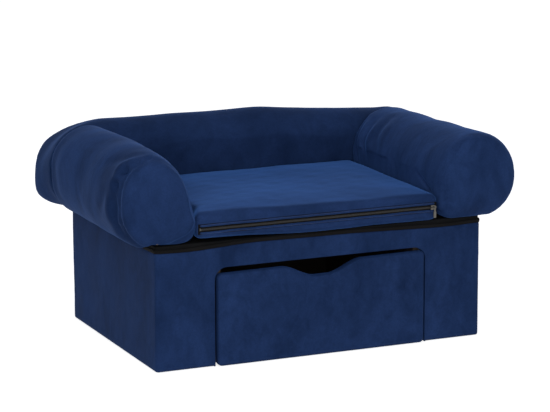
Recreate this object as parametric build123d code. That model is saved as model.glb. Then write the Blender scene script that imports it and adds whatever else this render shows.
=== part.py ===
from build123d import *
import os

# A sofa bed for a small dog: a plywood base covered in plush, with a drawer, a cloth-covered deck,
# two rolled arms, a rolled back and a loose seat cushion with a zip.
# Lengths are in millimetres. +Z is up, -Y is the front and +X is the right-hand side as seen from
# the front. The origin is on the floor, under the middle of the whole sofa.

# Clearances and cuts
rest_gap = 0.3  # between a soft or curved piece and what it lies on
slide_gap = 1.5  # each side of a wooden piece that slides in another
overrun = 5.0  # how far a cut runs past the face that it opens

# Base: the upholstered box, with its cover's outer sizes
base_width = 620.0
base_depth = 422.0
base_height = 208.0  # floor to the top edge of the cover
base_corner = 6.0
base_cover_thickness = 3.0
panel_thickness = 12.0
post_size = 28.0
glide_height = 2.5
glide_radius = 11.0
glide_edge = 0.8
dust_cloth_thickness = 0.5
dust_cloth_lap = 9.0  # how far the dust cloth reaches under the panels

# Drawer opening in the front, measured to the plush that lines it
bay_width = 109.0  # from the opening to the base's side
opening_head = 34.0  # from the opening to the base's top edge
opening_corner = 22.0

# Drawer
drawer_side_gap = 4.0  # from the front's plush edge to the opening
drawer_top_gap = 9.0
drawer_proud = 8.0  # how far the front stands out of the base
drawer_front_thickness = 12.0
drawer_front_corner = 7.0
drawer_cover_thickness = 3.0
drawer_wall = 9.0
drawer_wall_drop = 15.0  # from the front's top to the side walls' tops
drawer_wall_inset = 2.0  # from the front's edge to the side wall's outer face
drawer_back_drop = 12.0  # how far the drawer's back is below its sides
drawer_bottom_thickness = 3.0
drawer_bottom_lift = 8.0  # from the side walls' lower edges to the bottom panel
drawer_groove_depth = 4.0
drawer_rear_space = 12.0  # between the closed drawer and the base's back panel
scoop_width = 132.0  # finger scoop in the drawer front, at its top
scoop_floor_width = 46.0
scoop_depth = 21.0
scoop_shoulder_radius = 60.0
scoop_floor_radius = 25.0

# Wooden strips that carry and hold the drawer
runner_width = 20.0
runner_height = 12.0
runner_guide_height = 30.0
kicker_width = 20.0
kicker_height = 20.0
stop_width = 40.0
stop_height = 45.0
stop_lift = 30.0

# Deck: the board under the cushion, in black cloth, with a brown tape round its lower edge
deck_board_thickness = 12.0
deck_cloth_thickness = 1.0
edge_tape_height = 8.0
edge_tape_thickness = 1.2
deck_screw_radius = 2.0
deck_screw_head_radius = 4.0
deck_screw_head_height = 2.5
deck_screw_length = 35.0

# Arms
arm_width = 152.0
left_arm_flank = 16.7  # upright part of the outer side, under the half-round top
right_arm_flank = 3.7  # the right arm is the lower one
arm_overhang = 65.0  # past the base's side
arm_front_overhang = 30.0  # past the base's front
arm_inner_foot = 28.0  # lower corner radius beside the cushion
arm_outer_foot = 66.0
arm_front_round = 26.0
arm_rear_round = 9.0
upper_cover_thickness = 2.0

# Back
back_thickness = 120.0
back_height = 151.0
back_right_drop = 16.0  # how far the back's crest has come down at its right end
back_level_length = 475.0  # from the left end to where the crest starts to come down
back_overhang = 48.0  # past the base's back
back_inner_foot = 20.0
back_outer_foot = 46.0
back_plan_corner = 42.0
back_end_top_corner = 110.0  # of the back's ends, seen from the front
back_end_low_corner = 40.0
back_end_rise = 2.0  # how far the outlines of the ends pass the roll's top and rear
arm_to_back_gap = 0.5

# Boards inside the arms and the back, and what bolts them down
core_board_thickness = 12.0
core_board_drop = 45.0  # from the roll's top to the board's top
core_board_corner = 30.0
core_end_inset = 36.0  # from the roll's end to the board's end
core_foot_width = 28.0
core_foot_height = 28.0
arm_core_setback = 5.0  # from the base's side to the arm board
back_core_setback = 12.0  # from the base's rear to the back board
back_core_end_setback = 11.0  # from the base's sides to the back board's ends
bolt_radius = 3.0
bolt_head_width = 10.0
bolt_head_height = 4.0
bolt_hole_gap = 0.2
bolt_end_space = 1.0  # from the bolt's tip to the top of its foot
washer_radius = 9.0
washer_thickness = 1.6
nut_flange_radius = 9.5
nut_flange_thickness = 1.5
nut_barrel_radius = 4.0
nut_barrel_length = 9.0
arm_bolt_end_distance = 75.0  # from the arm board's ends
back_bolt_end_distance = 49.0  # from the back board's ends

# Seat cushion
cushion_side_gap = 1.0
cushion_rear_gap = 1.0
cushion_front_overhang = 12.0  # past the base's front
cushion_thickness = 50.0
cushion_corner = 6.0
cushion_edge = 5.0
cushion_cover_thickness = 1.5

# Zip along the cushion's front
zip_end_distance = 0.5  # from the corner's rounding to the slot's end
zip_slot_height = 9.2
zip_tape_width = 26.0
zip_tape_thickness = 0.8
zip_tape_tail = 1.5  # how far the tape runs past each end of the slot
coil_width = 5.0
coil_height = 2.2
coil_edge = 1.0
coil_stop_length = 2.0
coil_stop_height = 2.6
slider_length = 9.0
slider_width = 8.0
slider_corner = 1.5
slider_roof = 1.4
slider_wall = 1.1
slider_gap = 0.3  # from the slider to the coil, the stops and the tape
crown_radius = 0.8  # of the bent wire that the pull hangs on
crown_bend_radius = 1.1
crown_span = 6.0  # between its two posts
crown_reach = 3.2  # from the slider's roof to the wire's outer run
pull_length = 21.0
pull_width = 5.0
pull_thickness = 1.0
pull_eye_gap = 0.3  # round the crown's post
pull_head_radius = 2.4
pull_neck_width = 3.0
pull_neck_length = 7.0

# Screws through the drawer's front
drawer_screw_radius = 1.75
drawer_screw_head_radius = 3.5
drawer_screw_head_height = 2.2
drawer_screw_length = 32.0
drawer_screw_end_distance = 22.0
screw_hole_gap = 0.15


def arm_height(flank):
    """Height of an arm from its foot to its crest."""
    return arm_outer_foot + flank + arm_width / 2


# Places that follow from the sizes above
sofa_width = base_width + 2 * arm_overhang
sofa_depth = arm_front_overhang + base_depth + back_overhang
sofa_front = -sofa_depth / 2
base_front = sofa_front + arm_front_overhang
base_back = base_front + base_depth
base_middle = (base_front + base_back) / 2

opening_width = base_width - 2 * bay_width
opening_top = base_height - opening_head
carcass_skin = base_cover_thickness + rest_gap
carcass_low = glide_height + dust_cloth_thickness
carcass_top = base_height - carcass_skin
carcass_side = base_width / 2 - carcass_skin
carcass_front = base_front + carcass_skin
carcass_back = base_back - carcass_skin
front_panel_rear = carcass_front + panel_thickness
back_panel_front = carcass_back - panel_thickness
side_panel_inner = carcass_side - panel_thickness
divider_inner = opening_width / 2 + carcass_skin
divider_outer = divider_inner + panel_thickness

deck_low = base_height
deck_board_top = deck_low + deck_board_thickness
deck_top = deck_board_top + deck_cloth_thickness
deck_tape_skin = edge_tape_thickness + rest_gap
deck_board_skin = deck_tape_skin + deck_cloth_thickness
upper_low = deck_top + rest_gap

arm_outer = sofa_width / 2
arm_inner = arm_outer - arm_width
back_rear = base_back + back_overhang
back_inner = back_rear - back_thickness
arm_rear = back_inner - arm_to_back_gap
core_low = upper_low + upper_cover_thickness + rest_gap
core_foot_top = core_low + core_foot_height
arm_core_front = sofa_front + core_end_inset
arm_core_rear = arm_rear - core_end_inset
arm_core_top = upper_low + arm_height(left_arm_flank) - core_board_drop
arm_board_inner = base_width / 2 - arm_core_setback - core_board_thickness
arm_foot_middle = arm_board_inner - core_foot_width / 2
back_core_rear = base_back - back_core_setback
back_core_front = back_core_rear - core_board_thickness
back_core_half = base_width / 2 - back_core_end_setback
back_core_top = upper_low + back_height - core_board_drop
back_foot_middle = back_core_front - core_foot_width / 2

drawer_skin = drawer_cover_thickness + rest_gap
drawer_half = opening_width / 2 - drawer_side_gap
drawer_top = opening_top - drawer_top_gap
drawer_low = carcass_low
drawer_face = base_front - drawer_proud
drawer_board_face = drawer_face + drawer_skin
drawer_board_rear = drawer_board_face + drawer_front_thickness
drawer_rear = back_panel_front - drawer_rear_space
runner_top = carcass_low + runner_height
drawer_wall_low = runner_top + rest_gap
drawer_wall_top = drawer_top - drawer_wall_drop
drawer_wall_outer = drawer_half - drawer_wall_inset
drawer_wall_inner = drawer_wall_outer - drawer_wall
drawer_bottom_low = drawer_wall_low + drawer_bottom_lift
drawer_bottom_top = drawer_bottom_low + drawer_bottom_thickness

cushion_half = arm_inner - cushion_side_gap
cushion_front = base_front - cushion_front_overhang
cushion_rear = back_inner - cushion_rear_gap
cushion_low = upper_low
cushion_high = cushion_low + cushion_thickness
zip_level = (cushion_low + cushion_high) / 2
zip_half = cushion_half - cushion_corner - zip_end_distance
zip_tape_front = cushion_front + cushion_cover_thickness + rest_gap
zip_tape_rear = zip_tape_front + zip_tape_thickness
foam_skin = zip_tape_rear + rest_gap - cushion_front
coil_face = zip_tape_front - coil_height
slider_inner_face = coil_face - slider_gap
slider_face = slider_inner_face - slider_roof
slider_place = zip_half - coil_stop_length - slider_gap - slider_length / 2
crown_face = slider_face - crown_reach
pull_place = slider_place + crown_span / 2
pull_rear = slider_face - slider_gap


def box(x, y, z):
    """A block between two values on each axis, each given as a (low, high) pair."""
    middle = Pos((x[0] + x[1]) / 2, (y[0] + y[1]) / 2, (z[0] + z[1]) / 2)
    return middle * Box(x[1] - x[0], y[1] - y[0], z[1] - z[0])


def area(u, v):
    """A rectangle between two values each way, each given as a (low, high) pair."""
    middle = Pos((u[0] + u[1]) / 2, (v[0] + v[1]) / 2)
    return middle * Rectangle(u[1] - u[0], v[1] - v[0])


def along_x(profile, start, end):
    """A profile drawn in Y and Z, made solid from start to end."""
    return extrude(Plane.YZ.offset(start) * profile, end - start)


def along_y(profile, start, end):
    """A profile drawn in X and Z, made solid from start to end."""
    return extrude(Plane.XZ.offset(-end) * profile, end - start)


def along_z(profile, start, end):
    """A profile drawn in X and Y, made solid from start to end."""
    return extrude(Plane.XY.offset(start) * profile, end - start)


def mirrored(shape):
    """The left-hand twin of a right-hand piece."""
    return mirror(shape, about=Plane.YZ)


def group(shapes):
    """Several loose solids that share one node."""
    return Compound(children=[solid for shape in shapes for solid in shape.solids()])


# Base


def base_plan(inset):
    """The base's outline seen from above, drawn in by inset all round."""
    outline = RectangleRounded(
        base_width - 2 * inset, base_depth - 2 * inset, base_corner - inset
    )
    return Pos(0, base_middle) * outline


def opening_profile(grow):
    """The drawer opening seen from the front, grown by grow, open at the floor."""
    half = opening_width / 2 + grow
    arch = area((-half, half), (-overrun, opening_top + grow))
    return fillet(arch.vertices().group_by(Axis.Y)[-1], opening_corner + grow)


def front_panel():
    carcass = along_z(base_plan(carcass_skin), carcass_low, carcass_top)
    slab = carcass & box(
        (-base_width, base_width), (carcass_front, front_panel_rear), (0, base_height)
    )
    opening = along_y(
        opening_profile(carcass_skin), base_front - overrun, front_panel_rear + overrun
    )
    return slab - opening


def back_panel():
    carcass = along_z(base_plan(carcass_skin), carcass_low, carcass_top)
    return carcass & box(
        (-base_width, base_width), (back_panel_front, carcass_back), (0, base_height)
    )


def side_panel():
    return box(
        (side_panel_inner, carcass_side),
        (front_panel_rear, back_panel_front),
        (carcass_low, carcass_top),
    )


def divider():
    """The inner panel beside the drawer. It reaches the deck board and takes its screws."""
    panel = box(
        (divider_inner, divider_outer),
        (front_panel_rear, back_panel_front),
        (carcass_low, deck_low),
    )
    return panel - group(deck_screw_holes(divider_screw_places()))


def post_places():
    """Centres of the four posts, in the inner corners of the box."""
    x = side_panel_inner - post_size / 2
    near = front_panel_rear + post_size / 2
    far = back_panel_front - post_size / 2
    return {
        "front_left": (-x, near),
        "front_right": (x, near),
        "rear_left": (-x, far),
        "rear_right": (x, far),
    }


def corner_post(place):
    post = Pos(*place) * along_z(
        Rectangle(post_size, post_size), carcass_low, deck_low
    )
    return post - group(deck_screw_holes([place]))


def runner():
    """L-shaped strip: its foot carries the drawer's side wall and its upright guides it."""
    foot = area(
        (divider_inner - runner_width, divider_inner), (carcass_low, runner_top)
    )
    upright = area(
        (drawer_wall_outer + slide_gap, divider_inner),
        (runner_top, carcass_low + runner_guide_height),
    )
    return along_y(foot + upright, front_panel_rear, back_panel_front)


def kicker():
    """Strip above the drawer's side wall, which stops an open drawer from tipping."""
    low = drawer_wall_top + slide_gap
    return box(
        (divider_inner - kicker_width, divider_inner),
        (front_panel_rear, back_panel_front),
        (low, low + kicker_height),
    )


def drawer_stop():
    """Block on the back panel that the closed drawer's side wall meets."""
    low = carcass_low + stop_lift
    return box(
        (drawer_wall_outer - stop_width, drawer_wall_outer),
        (drawer_rear + rest_gap, back_panel_front),
        (low, low + stop_height),
    )


def base_cover():
    """Plush round the box: it turns in over the panels and lines the drawer opening."""
    walls = along_z(base_plan(0), carcass_low, base_height)
    inside = along_z(
        base_plan(base_cover_thickness),
        carcass_low - overrun,
        base_height - base_cover_thickness,
    )
    hem = carcass_skin + panel_thickness
    mouth = box(
        (-base_width / 2 + hem, base_width / 2 - hem),
        (base_front + hem, base_back - hem),
        (0, base_height + overrun),
    )
    cut = along_y(opening_profile(0), base_front - overrun, front_panel_rear)
    lining = opening_profile(base_cover_thickness) & area(
        (-base_width, base_width), (carcass_low, base_height)
    )
    lining = along_y(lining, base_front, front_panel_rear)
    return walls - inside - mouth + lining - cut


def dust_cloth():
    """Cloth under the bay between divider and side, held by the panels' lower edges."""
    return box(
        (divider_inner + panel_thickness - dust_cloth_lap, side_panel_inner + dust_cloth_lap),
        (front_panel_rear - dust_cloth_lap, back_panel_front + dust_cloth_lap),
        (glide_height, carcass_low),
    )


def glide_places():
    """Under the four posts and under both ends of each divider."""
    x = (divider_inner + divider_outer) / 2
    near = front_panel_rear + post_size / 2
    far = back_panel_front - post_size / 2
    ends = [(sign * x, y) for sign in (-1, 1) for y in (near, far)]
    return list(post_places().values()) + ends


def glide(place):
    disc = Pos(*place) * along_z(Circle(glide_radius), 0, glide_height)
    return chamfer(disc.edges().group_by(Axis.Z)[0], glide_edge)


# Deck


def divider_screw_places():
    x = (divider_inner + divider_outer) / 2
    reach = base_depth / 4
    return [(x, base_middle - reach), (x, base_middle + reach)]


def deck_screw_places():
    sides = divider_screw_places()
    twins = [(-x, y) for x, y in sides]
    return list(post_places().values()) + sides + twins


def countersunk_screw(radius, head_radius, head_height, length):
    """A screw that points down from its head's flat top at zero."""
    shank = along_z(Circle(radius), -length, -head_height)
    head = Pos(0, 0, -head_height) * Cone(
        radius, head_radius, head_height, align=(Align.CENTER, Align.CENTER, Align.MIN)
    )
    return shank + head


def deck_screw_solid(grow):
    return countersunk_screw(
        deck_screw_radius + grow,
        deck_screw_head_radius + grow,
        deck_screw_head_height + grow,
        deck_screw_length + grow,
    )


def deck_screw_holes(places):
    hole = deck_screw_solid(screw_hole_gap)
    return [Pos(x, y, deck_board_top) * hole for x, y in places]


def deck_screws():
    screw = deck_screw_solid(0)
    return group([Pos(x, y, deck_board_top) * screw for x, y in deck_screw_places()])


def deck_board():
    board = along_z(base_plan(deck_board_skin), deck_low, deck_board_top)
    holes = deck_screw_holes(deck_screw_places())
    return board - group(holes) - group(bolt_holes(bolt_radius + bolt_hole_gap))


def deck_cloth():
    """Black cloth over the board's top and edges."""
    outside = along_z(base_plan(deck_tape_skin), deck_low, deck_top)
    inside = along_z(base_plan(deck_board_skin), deck_low - overrun, deck_board_top)
    return outside - inside - group(bolt_holes(bolt_radius + bolt_hole_gap))


def edge_tape():
    outside = along_z(base_plan(0), deck_low, deck_low + edge_tape_height)
    inside = along_z(
        base_plan(edge_tape_thickness),
        deck_low - overrun,
        deck_low + edge_tape_height + overrun,
    )
    return outside - inside


# Arms and back


def roll_profile(width, height, inner_foot, outer_foot, inset):
    """Section of an arm or the back: a flat foot, rounded lower corners and a half-round top.
    Its inner side is at zero and it grows outwards."""
    left = inset
    right = width - inset
    low = inset
    spring = height - width / 2
    inner = inner_foot - inset
    outer = outer_foot - inset
    quarter, half_turn, three_quarters = 90, 180, 270
    outline = [
        Line((left + inner, low), (right - outer, low)),
        CenterArc((right - outer, low + outer), outer, three_quarters, quarter),
        Line((right, low + outer), (right, spring)),
        CenterArc((width / 2, spring), width / 2 - inset, 0, half_turn),
        Line((left, spring), (left, low + inner)),
        CenterArc((left + inner, low + inner), inner, half_turn, quarter),
    ]
    return make_face(outline)


def arm_solid(inset, flank):
    """An arm with the given flank, as it stands on the right, drawn in by inset all round."""
    section = roll_profile(
        arm_width, arm_height(flank), arm_inner_foot, arm_outer_foot, inset
    )
    body = along_y(
        Pos(arm_inner, upper_low) * section, sofa_front + inset, arm_rear - inset
    )
    body = fillet(body.edges().group_by(Axis.Y)[0], arm_front_round - inset)
    return fillet(body.edges().group_by(Axis.Y)[-1], arm_rear_round - inset)


def back_solid(inset):
    """The back: its own section along the sofa, level and then coming down to the right, trimmed
    to round outlines at both ends."""
    half = sofa_width / 2 - inset
    low = upper_low + inset
    high = upper_low + back_height + back_end_rise - inset
    rear = back_rear + back_end_rise - inset
    marks = [(-half, 0), (back_level_length - sofa_width / 2, 0), (half, back_right_drop)]
    sections = [
        Plane(origin=(x, back_inner, upper_low), x_dir=(0, 1, 0), z_dir=(1, 0, 0))
        * roll_profile(
            back_thickness, back_height - drop, back_inner_foot, back_outer_foot, inset
        )
        for x, drop in marks
    ]
    roll = loft(sections, ruled=True)
    outline = area((-half, half), (low, high))
    corners = outline.vertices().group_by(Axis.Y)
    outline = fillet(corners[-1], back_end_top_corner - inset)
    outline = fillet(
        outline.vertices().group_by(Axis.Y)[0], back_end_low_corner - inset
    )
    front_view = along_y(outline, back_inner - overrun, back_rear + overrun)
    plan = area((-half, half), (back_inner, rear))
    plan = fillet(plan.vertices().group_by(Axis.Y)[-1], back_plan_corner - inset)
    return roll & front_view & along_z(plan, 0, high + overrun)


def arm_board(grow):
    """Upright board inside the right arm, or with grow the pocket that it stands in."""
    side = area(
        (arm_core_front - grow, arm_core_rear + grow), (core_low - grow, arm_core_top + grow)
    )
    side = fillet(side.vertices().group_by(Axis.Y)[-1], core_board_corner)
    return along_x(
        side, arm_board_inner - grow, arm_board_inner + core_board_thickness + grow
    )


def arm_foot(grow):
    """Batten that holds the arm's board to the deck, or with grow its pocket."""
    return box(
        (arm_board_inner - core_foot_width - grow, arm_board_inner),
        (arm_core_front - grow, arm_core_rear + grow),
        (core_low - grow, core_low + core_foot_height + grow),
    )


def back_board(grow):
    front = area(
        (-back_core_half - grow, back_core_half + grow), (core_low - grow, back_core_top + grow)
    )
    front = fillet(front.vertices().group_by(Axis.Y)[-1], core_board_corner)
    return along_y(front, back_core_front - grow, back_core_rear + grow)


def back_foot(grow):
    return box(
        (-back_core_half - grow, back_core_half + grow),
        (back_core_front - core_foot_width - grow, back_core_front),
        (core_low - grow, core_low + core_foot_height + grow),
    )


def bolt_places():
    """Centres of the bolts that hold the arms and the back to the deck."""
    near = arm_core_front + arm_bolt_end_distance
    far = arm_core_rear - arm_bolt_end_distance
    arms = [
        (sign * arm_foot_middle, y) for sign in (-1, 1) for y in (near, far)
    ]
    outer = back_core_half - back_bolt_end_distance
    back = [(x, back_foot_middle) for x in (-outer, 0, outer)]
    return arms + back


def bolt_holes(radius):
    hole = along_z(Circle(radius), deck_low - overrun, core_foot_top + overrun)
    return [Pos(*place) * hole for place in bolt_places()]


def bolts():
    """Hexagon bolts, heads below the deck."""
    head_low = deck_low - washer_thickness - bolt_head_height
    head_top = deck_low - washer_thickness
    sides = 6
    hexagon = RegularPolygon(bolt_head_width / 2, sides, major_radius=False)
    head = along_z(hexagon, head_low, head_top)
    shank = along_z(Circle(bolt_radius), head_top, core_foot_top - bolt_end_space)
    bolt = head + shank
    return group([Pos(*place) * bolt for place in bolt_places()])


def washers():
    ring = Circle(washer_radius) - Circle(bolt_radius + bolt_hole_gap)
    washer = along_z(ring, deck_low - washer_thickness, deck_low)
    return group([Pos(*place) * washer for place in bolt_places()])


def tee_nut_solid(grow):
    """Barrel nut with a flange, let into the foot's top. Its bore is left open for the bolt."""
    flange_low = core_foot_top - nut_flange_thickness - grow
    flange = along_z(Circle(nut_flange_radius + grow), flange_low, core_foot_top)
    barrel = along_z(
        Circle(nut_barrel_radius + grow), flange_low - nut_barrel_length, core_foot_top
    )
    return flange + barrel


def tee_nuts():
    bore = along_z(
        Circle(bolt_radius + screw_hole_gap), deck_low, core_foot_top + overrun
    )
    nut = tee_nut_solid(0) - bore
    return group([Pos(*place) * nut for place in bolt_places()])


def drilled_foot(foot):
    """A foot with its bolt holes and the seats of its nuts."""
    seat = tee_nut_solid(screw_hole_gap)
    seats = [Pos(*place) * seat for place in bolt_places()]
    return foot - group(bolt_holes(bolt_radius + bolt_hole_gap)) - group(seats)


def roll_filling(solid_at, board_at, foot_at):
    """Stuffing of a roll, with a pocket for the board and the foot inside it."""
    body = solid_at(upper_cover_thickness + rest_gap)
    return body - board_at(rest_gap) - foot_at(rest_gap)


def roll_cover(solid_at):
    """Plush sleeve of a roll, with holes for its bolts."""
    shell = solid_at(0) - solid_at(upper_cover_thickness)
    return shell - group(bolt_holes(bolt_radius + bolt_hole_gap))


# Drawer


def drawer_front_profile(inset):
    """The drawer front seen from the front, with its finger scoop, drawn in by inset."""
    half = drawer_half - inset
    top = drawer_top - inset
    plate = area((-half, half), (drawer_low + inset, top))
    plate = fillet(plate.vertices(), drawer_front_corner - inset)
    floor = drawer_top - scoop_depth - inset
    slope = (scoop_width - scoop_floor_width) / (2 * scoop_depth)
    rise = scoop_shoulder_radius
    wide = scoop_width / 2 + inset
    narrow = scoop_floor_width / 2 + inset
    scoop = make_face(
        Polyline(
            (-wide - slope * rise, top + rise),
            (-wide, top),
            (-narrow, floor),
            (narrow, floor),
            (wide, top),
            (wide + slope * rise, top + rise),
            close=True,
        )
    )
    scoop = fillet(scoop.vertices().group_by(Axis.Y)[0], scoop_floor_radius + inset)
    plate -= scoop
    shoulders = [
        corner
        for corner in plate.vertices()
        if abs(corner.Y - top) < rest_gap and abs(corner.X) < (wide + half) / 2
    ]
    return fillet(shoulders, scoop_shoulder_radius - inset)


def drawer_front_board():
    board = along_y(
        drawer_front_profile(drawer_skin), drawer_board_face, drawer_board_rear
    )
    groove = box(
        (-drawer_wall_inner, drawer_wall_inner),
        (drawer_board_rear - drawer_groove_depth, drawer_board_rear + overrun),
        (drawer_bottom_low - rest_gap, drawer_bottom_top + rest_gap),
    )
    return board - groove - group(drawer_screw_solids(screw_hole_gap))


def drawer_front_cover():
    """Plush over the front board's face and edges."""
    outside = along_y(drawer_front_profile(0), drawer_face, drawer_board_rear)
    inside = along_y(
        drawer_front_profile(drawer_cover_thickness),
        drawer_face + drawer_cover_thickness,
        drawer_board_rear + overrun,
    )
    return outside - inside


def drawer_side():
    """Right side wall, with the groove for the bottom."""
    wall = box(
        (drawer_wall_inner, drawer_wall_outer),
        (drawer_board_rear, drawer_rear),
        (drawer_wall_low, drawer_wall_top),
    )
    groove = box(
        (drawer_wall_inner - overrun, drawer_wall_inner + drawer_groove_depth),
        (drawer_board_rear - overrun, drawer_rear + overrun),
        (drawer_bottom_low - rest_gap, drawer_bottom_top + rest_gap),
    )
    return wall - groove - group(drawer_screw_solids(screw_hole_gap))


def drawer_bottom():
    side = drawer_wall_inner + drawer_groove_depth - rest_gap
    tongue = drawer_wall_inner - rest_gap
    front = drawer_board_rear - drawer_groove_depth + rest_gap
    sheet = area((-side, side), (drawer_board_rear + rest_gap, drawer_rear))
    lip = area((-tongue, tongue), (front, drawer_board_rear + rest_gap))
    return along_z(sheet + lip, drawer_bottom_low, drawer_bottom_top)


def drawer_back():
    """Stands on the bottom, between the side walls."""
    return box(
        (-drawer_wall_inner, drawer_wall_inner),
        (drawer_rear - drawer_wall, drawer_rear),
        (drawer_bottom_top, drawer_wall_top - drawer_back_drop),
    )


def drawer_screw_solids(grow):
    """Screws from the front board's face into the ends of the side walls."""
    screw = countersunk_screw(
        drawer_screw_radius + grow,
        drawer_screw_head_radius + grow,
        drawer_screw_head_height + grow,
        drawer_screw_length + grow,
    )
    quarter = 90
    x = (drawer_wall_inner + drawer_wall_outer) / 2
    low = drawer_wall_low + drawer_screw_end_distance
    high = drawer_wall_top - drawer_screw_end_distance
    middle = (low + high) / 2
    places = [(sign * x, z) for sign in (-1, 1) for z in (low, middle, high)]
    return [
        Pos(x, drawer_board_face, z) * Rot(quarter, 0, 0) * screw for x, z in places
    ]


# Cushion and zip


def cushion_solid(inset):
    """The cushion's block with rounded corners and edges, drawn in by inset."""
    width = 2 * (cushion_half - inset)
    depth = cushion_rear - cushion_front - 2 * inset
    plan = Pos(0, (cushion_front + cushion_rear) / 2) * RectangleRounded(
        width, depth, cushion_corner - inset
    )
    body = along_z(plan, cushion_low + inset, cushion_high - inset)
    rims = body.edges().group_by(Axis.Z)
    return fillet(rims[0] + rims[-1], cushion_edge - inset)


def cushion_cover():
    slot = box(
        (-zip_half, zip_half),
        (cushion_front - overrun, zip_tape_rear),
        (zip_level - zip_slot_height / 2, zip_level + zip_slot_height / 2),
    )
    return cushion_solid(0) - cushion_solid(cushion_cover_thickness) - slot


def zip_tape():
    reach = zip_half + zip_tape_tail
    return box(
        (-reach, reach),
        (zip_tape_front, zip_tape_rear),
        (zip_level - zip_tape_width / 2, zip_level + zip_tape_width / 2),
    )


def zip_coil():
    """The closed coils, as one low half-round bar."""
    half = zip_half - coil_stop_length
    bar = box(
        (-half, half),
        (coil_face, zip_tape_front),
        (zip_level - coil_width / 2, zip_level + coil_width / 2),
    )
    front = bar.edges().filter_by(Axis.X).group_by(Axis.Y)[0]
    return fillet(front, coil_edge)


def zip_stops():
    """Metal stops at both ends of the coil."""
    stops = [
        box(
            (low, low + coil_stop_length),
            (zip_tape_front - coil_stop_height, zip_tape_front),
            (zip_level - coil_width / 2, zip_level + coil_width / 2),
        )
        for low in (-zip_half, zip_half - coil_stop_length)
    ]
    return group(stops)


def zip_slider():
    """Channel over the coil, with a crown: a bent wire of two posts and an outer run."""
    half = slider_width / 2
    roof = area((slider_face, slider_inner_face), (-half, half))
    walls = [
        area((slider_inner_face, zip_tape_front - slider_gap), side)
        for side in ((-half, -half + slider_wall), (half - slider_wall, half))
    ]
    channel = along_x(roof + walls[0] + walls[1], -slider_length / 2, slider_length / 2)
    corners = channel.edges().filter_by(Axis.Y)
    outer = [edge for edge in corners if abs(edge.center().Z) > half - slider_wall / 2]
    channel = fillet(outer, slider_corner)
    reach = crown_span / 2
    wire = FilletPolyline(
        (-reach, slider_face, 0),
        (-reach, crown_face, 0),
        (reach, crown_face, 0),
        (reach, slider_face, 0),
        radius=crown_bend_radius,
    )
    crown = sweep(Plane(wire @ 0, z_dir=wire % 0) * Circle(crown_radius), path=wire)
    return Pos(slider_place, 0, zip_level) * (channel + crown)


def zip_pull():
    """Flat tab that hangs by its eye from the crown's outer post, face to the front."""
    neck_low = -pull_head_radius - pull_neck_length
    neck = area((-pull_neck_width / 2, pull_neck_width / 2), (neck_low, 0))
    tab = area(
        (-pull_width / 2, pull_width / 2),
        (pull_head_radius - pull_length, -pull_neck_length),
    )
    tab = fillet(tab.vertices(), pull_neck_width / 2)
    outline = Circle(pull_head_radius) + neck + tab - Circle(crown_radius + pull_eye_gap)
    plate = along_y(outline, pull_rear - pull_thickness, pull_rear)
    return Pos(pull_place, 0, zip_level) * plate


def both(name, shape):
    """Left and right nodes from a right-hand piece."""
    return {name + "_right": shape, name + "_left": mirrored(shape)}


def arm_rolls():
    """Filling and cover of each arm. The left one is drawn as it would stand on the right."""
    made = {}
    for side, flank in (("right", right_arm_flank), ("left", left_arm_flank)):
        def solid_at(inset):
            return arm_solid(inset, flank)

        pieces = {
            "arm_filling_": roll_filling(solid_at, arm_board, arm_foot),
            "arm_cover_": roll_cover(solid_at),
        }
        for name, shape in pieces.items():
            made[name + side] = mirrored(shape) if side == "left" else shape
    return made


def nodes():
    made = {
        "front_panel": front_panel(),
        "back_panel": back_panel(),
        "base_cover": base_cover(),
        "drawer_stops": group([drawer_stop(), mirrored(drawer_stop())]),
        "glides": group([glide(place) for place in glide_places()]),
        "deck_board": deck_board(),
        "deck_cloth": deck_cloth(),
        "deck_edge_tape": edge_tape(),
        "deck_screws": deck_screws(),
        "back_board": back_board(0),
        "back_foot": drilled_foot(back_foot(0)),
        "back_filling": roll_filling(back_solid, back_board, back_foot),
        "back_cover": roll_cover(back_solid),
        "frame_bolts": bolts(),
        "frame_washers": washers(),
        "frame_tee_nuts": tee_nuts(),
        "drawer_front_board": drawer_front_board(),
        "drawer_front_cover": drawer_front_cover(),
        "drawer_back": drawer_back(),
        "drawer_bottom": drawer_bottom(),
        "drawer_screws": group(drawer_screw_solids(0)),
        "cushion_cover": cushion_cover(),
        "cushion_foam": cushion_solid(foam_skin),
        "zip_tape": zip_tape(),
        "zip_coil": zip_coil(),
        "zip_stops": zip_stops(),
        "zip_slider": zip_slider(),
        "zip_pull": zip_pull(),
    }
    made.update(both("side_panel", side_panel()))
    made.update(both("divider", divider()))
    made.update(both("drawer_runner", runner()))
    made.update(both("drawer_kicker", kicker()))
    made.update(both("dust_cloth", dust_cloth()))
    made.update(both("arm_board", arm_board(0)))
    made.update(both("arm_foot", drilled_foot(arm_foot(0))))
    made.update(arm_rolls())
    made.update(both("drawer_side", drawer_side()))
    for name, place in post_places().items():
        made["corner_post_" + name] = corner_post(place)
    return made


def main():
    os.makedirs("parts", exist_ok=True)
    for name, shape in nodes().items():
        export_step(shape, os.path.join("parts", name + ".step"))


if __name__ == "__main__":
    main()
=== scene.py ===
"""Looks of the sofa bed for a small dog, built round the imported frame. Lengths are in metres."""

import math

import bmesh
import bpy
import numpy as np
from mathutils import Matrix, Vector, kdtree


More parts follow.
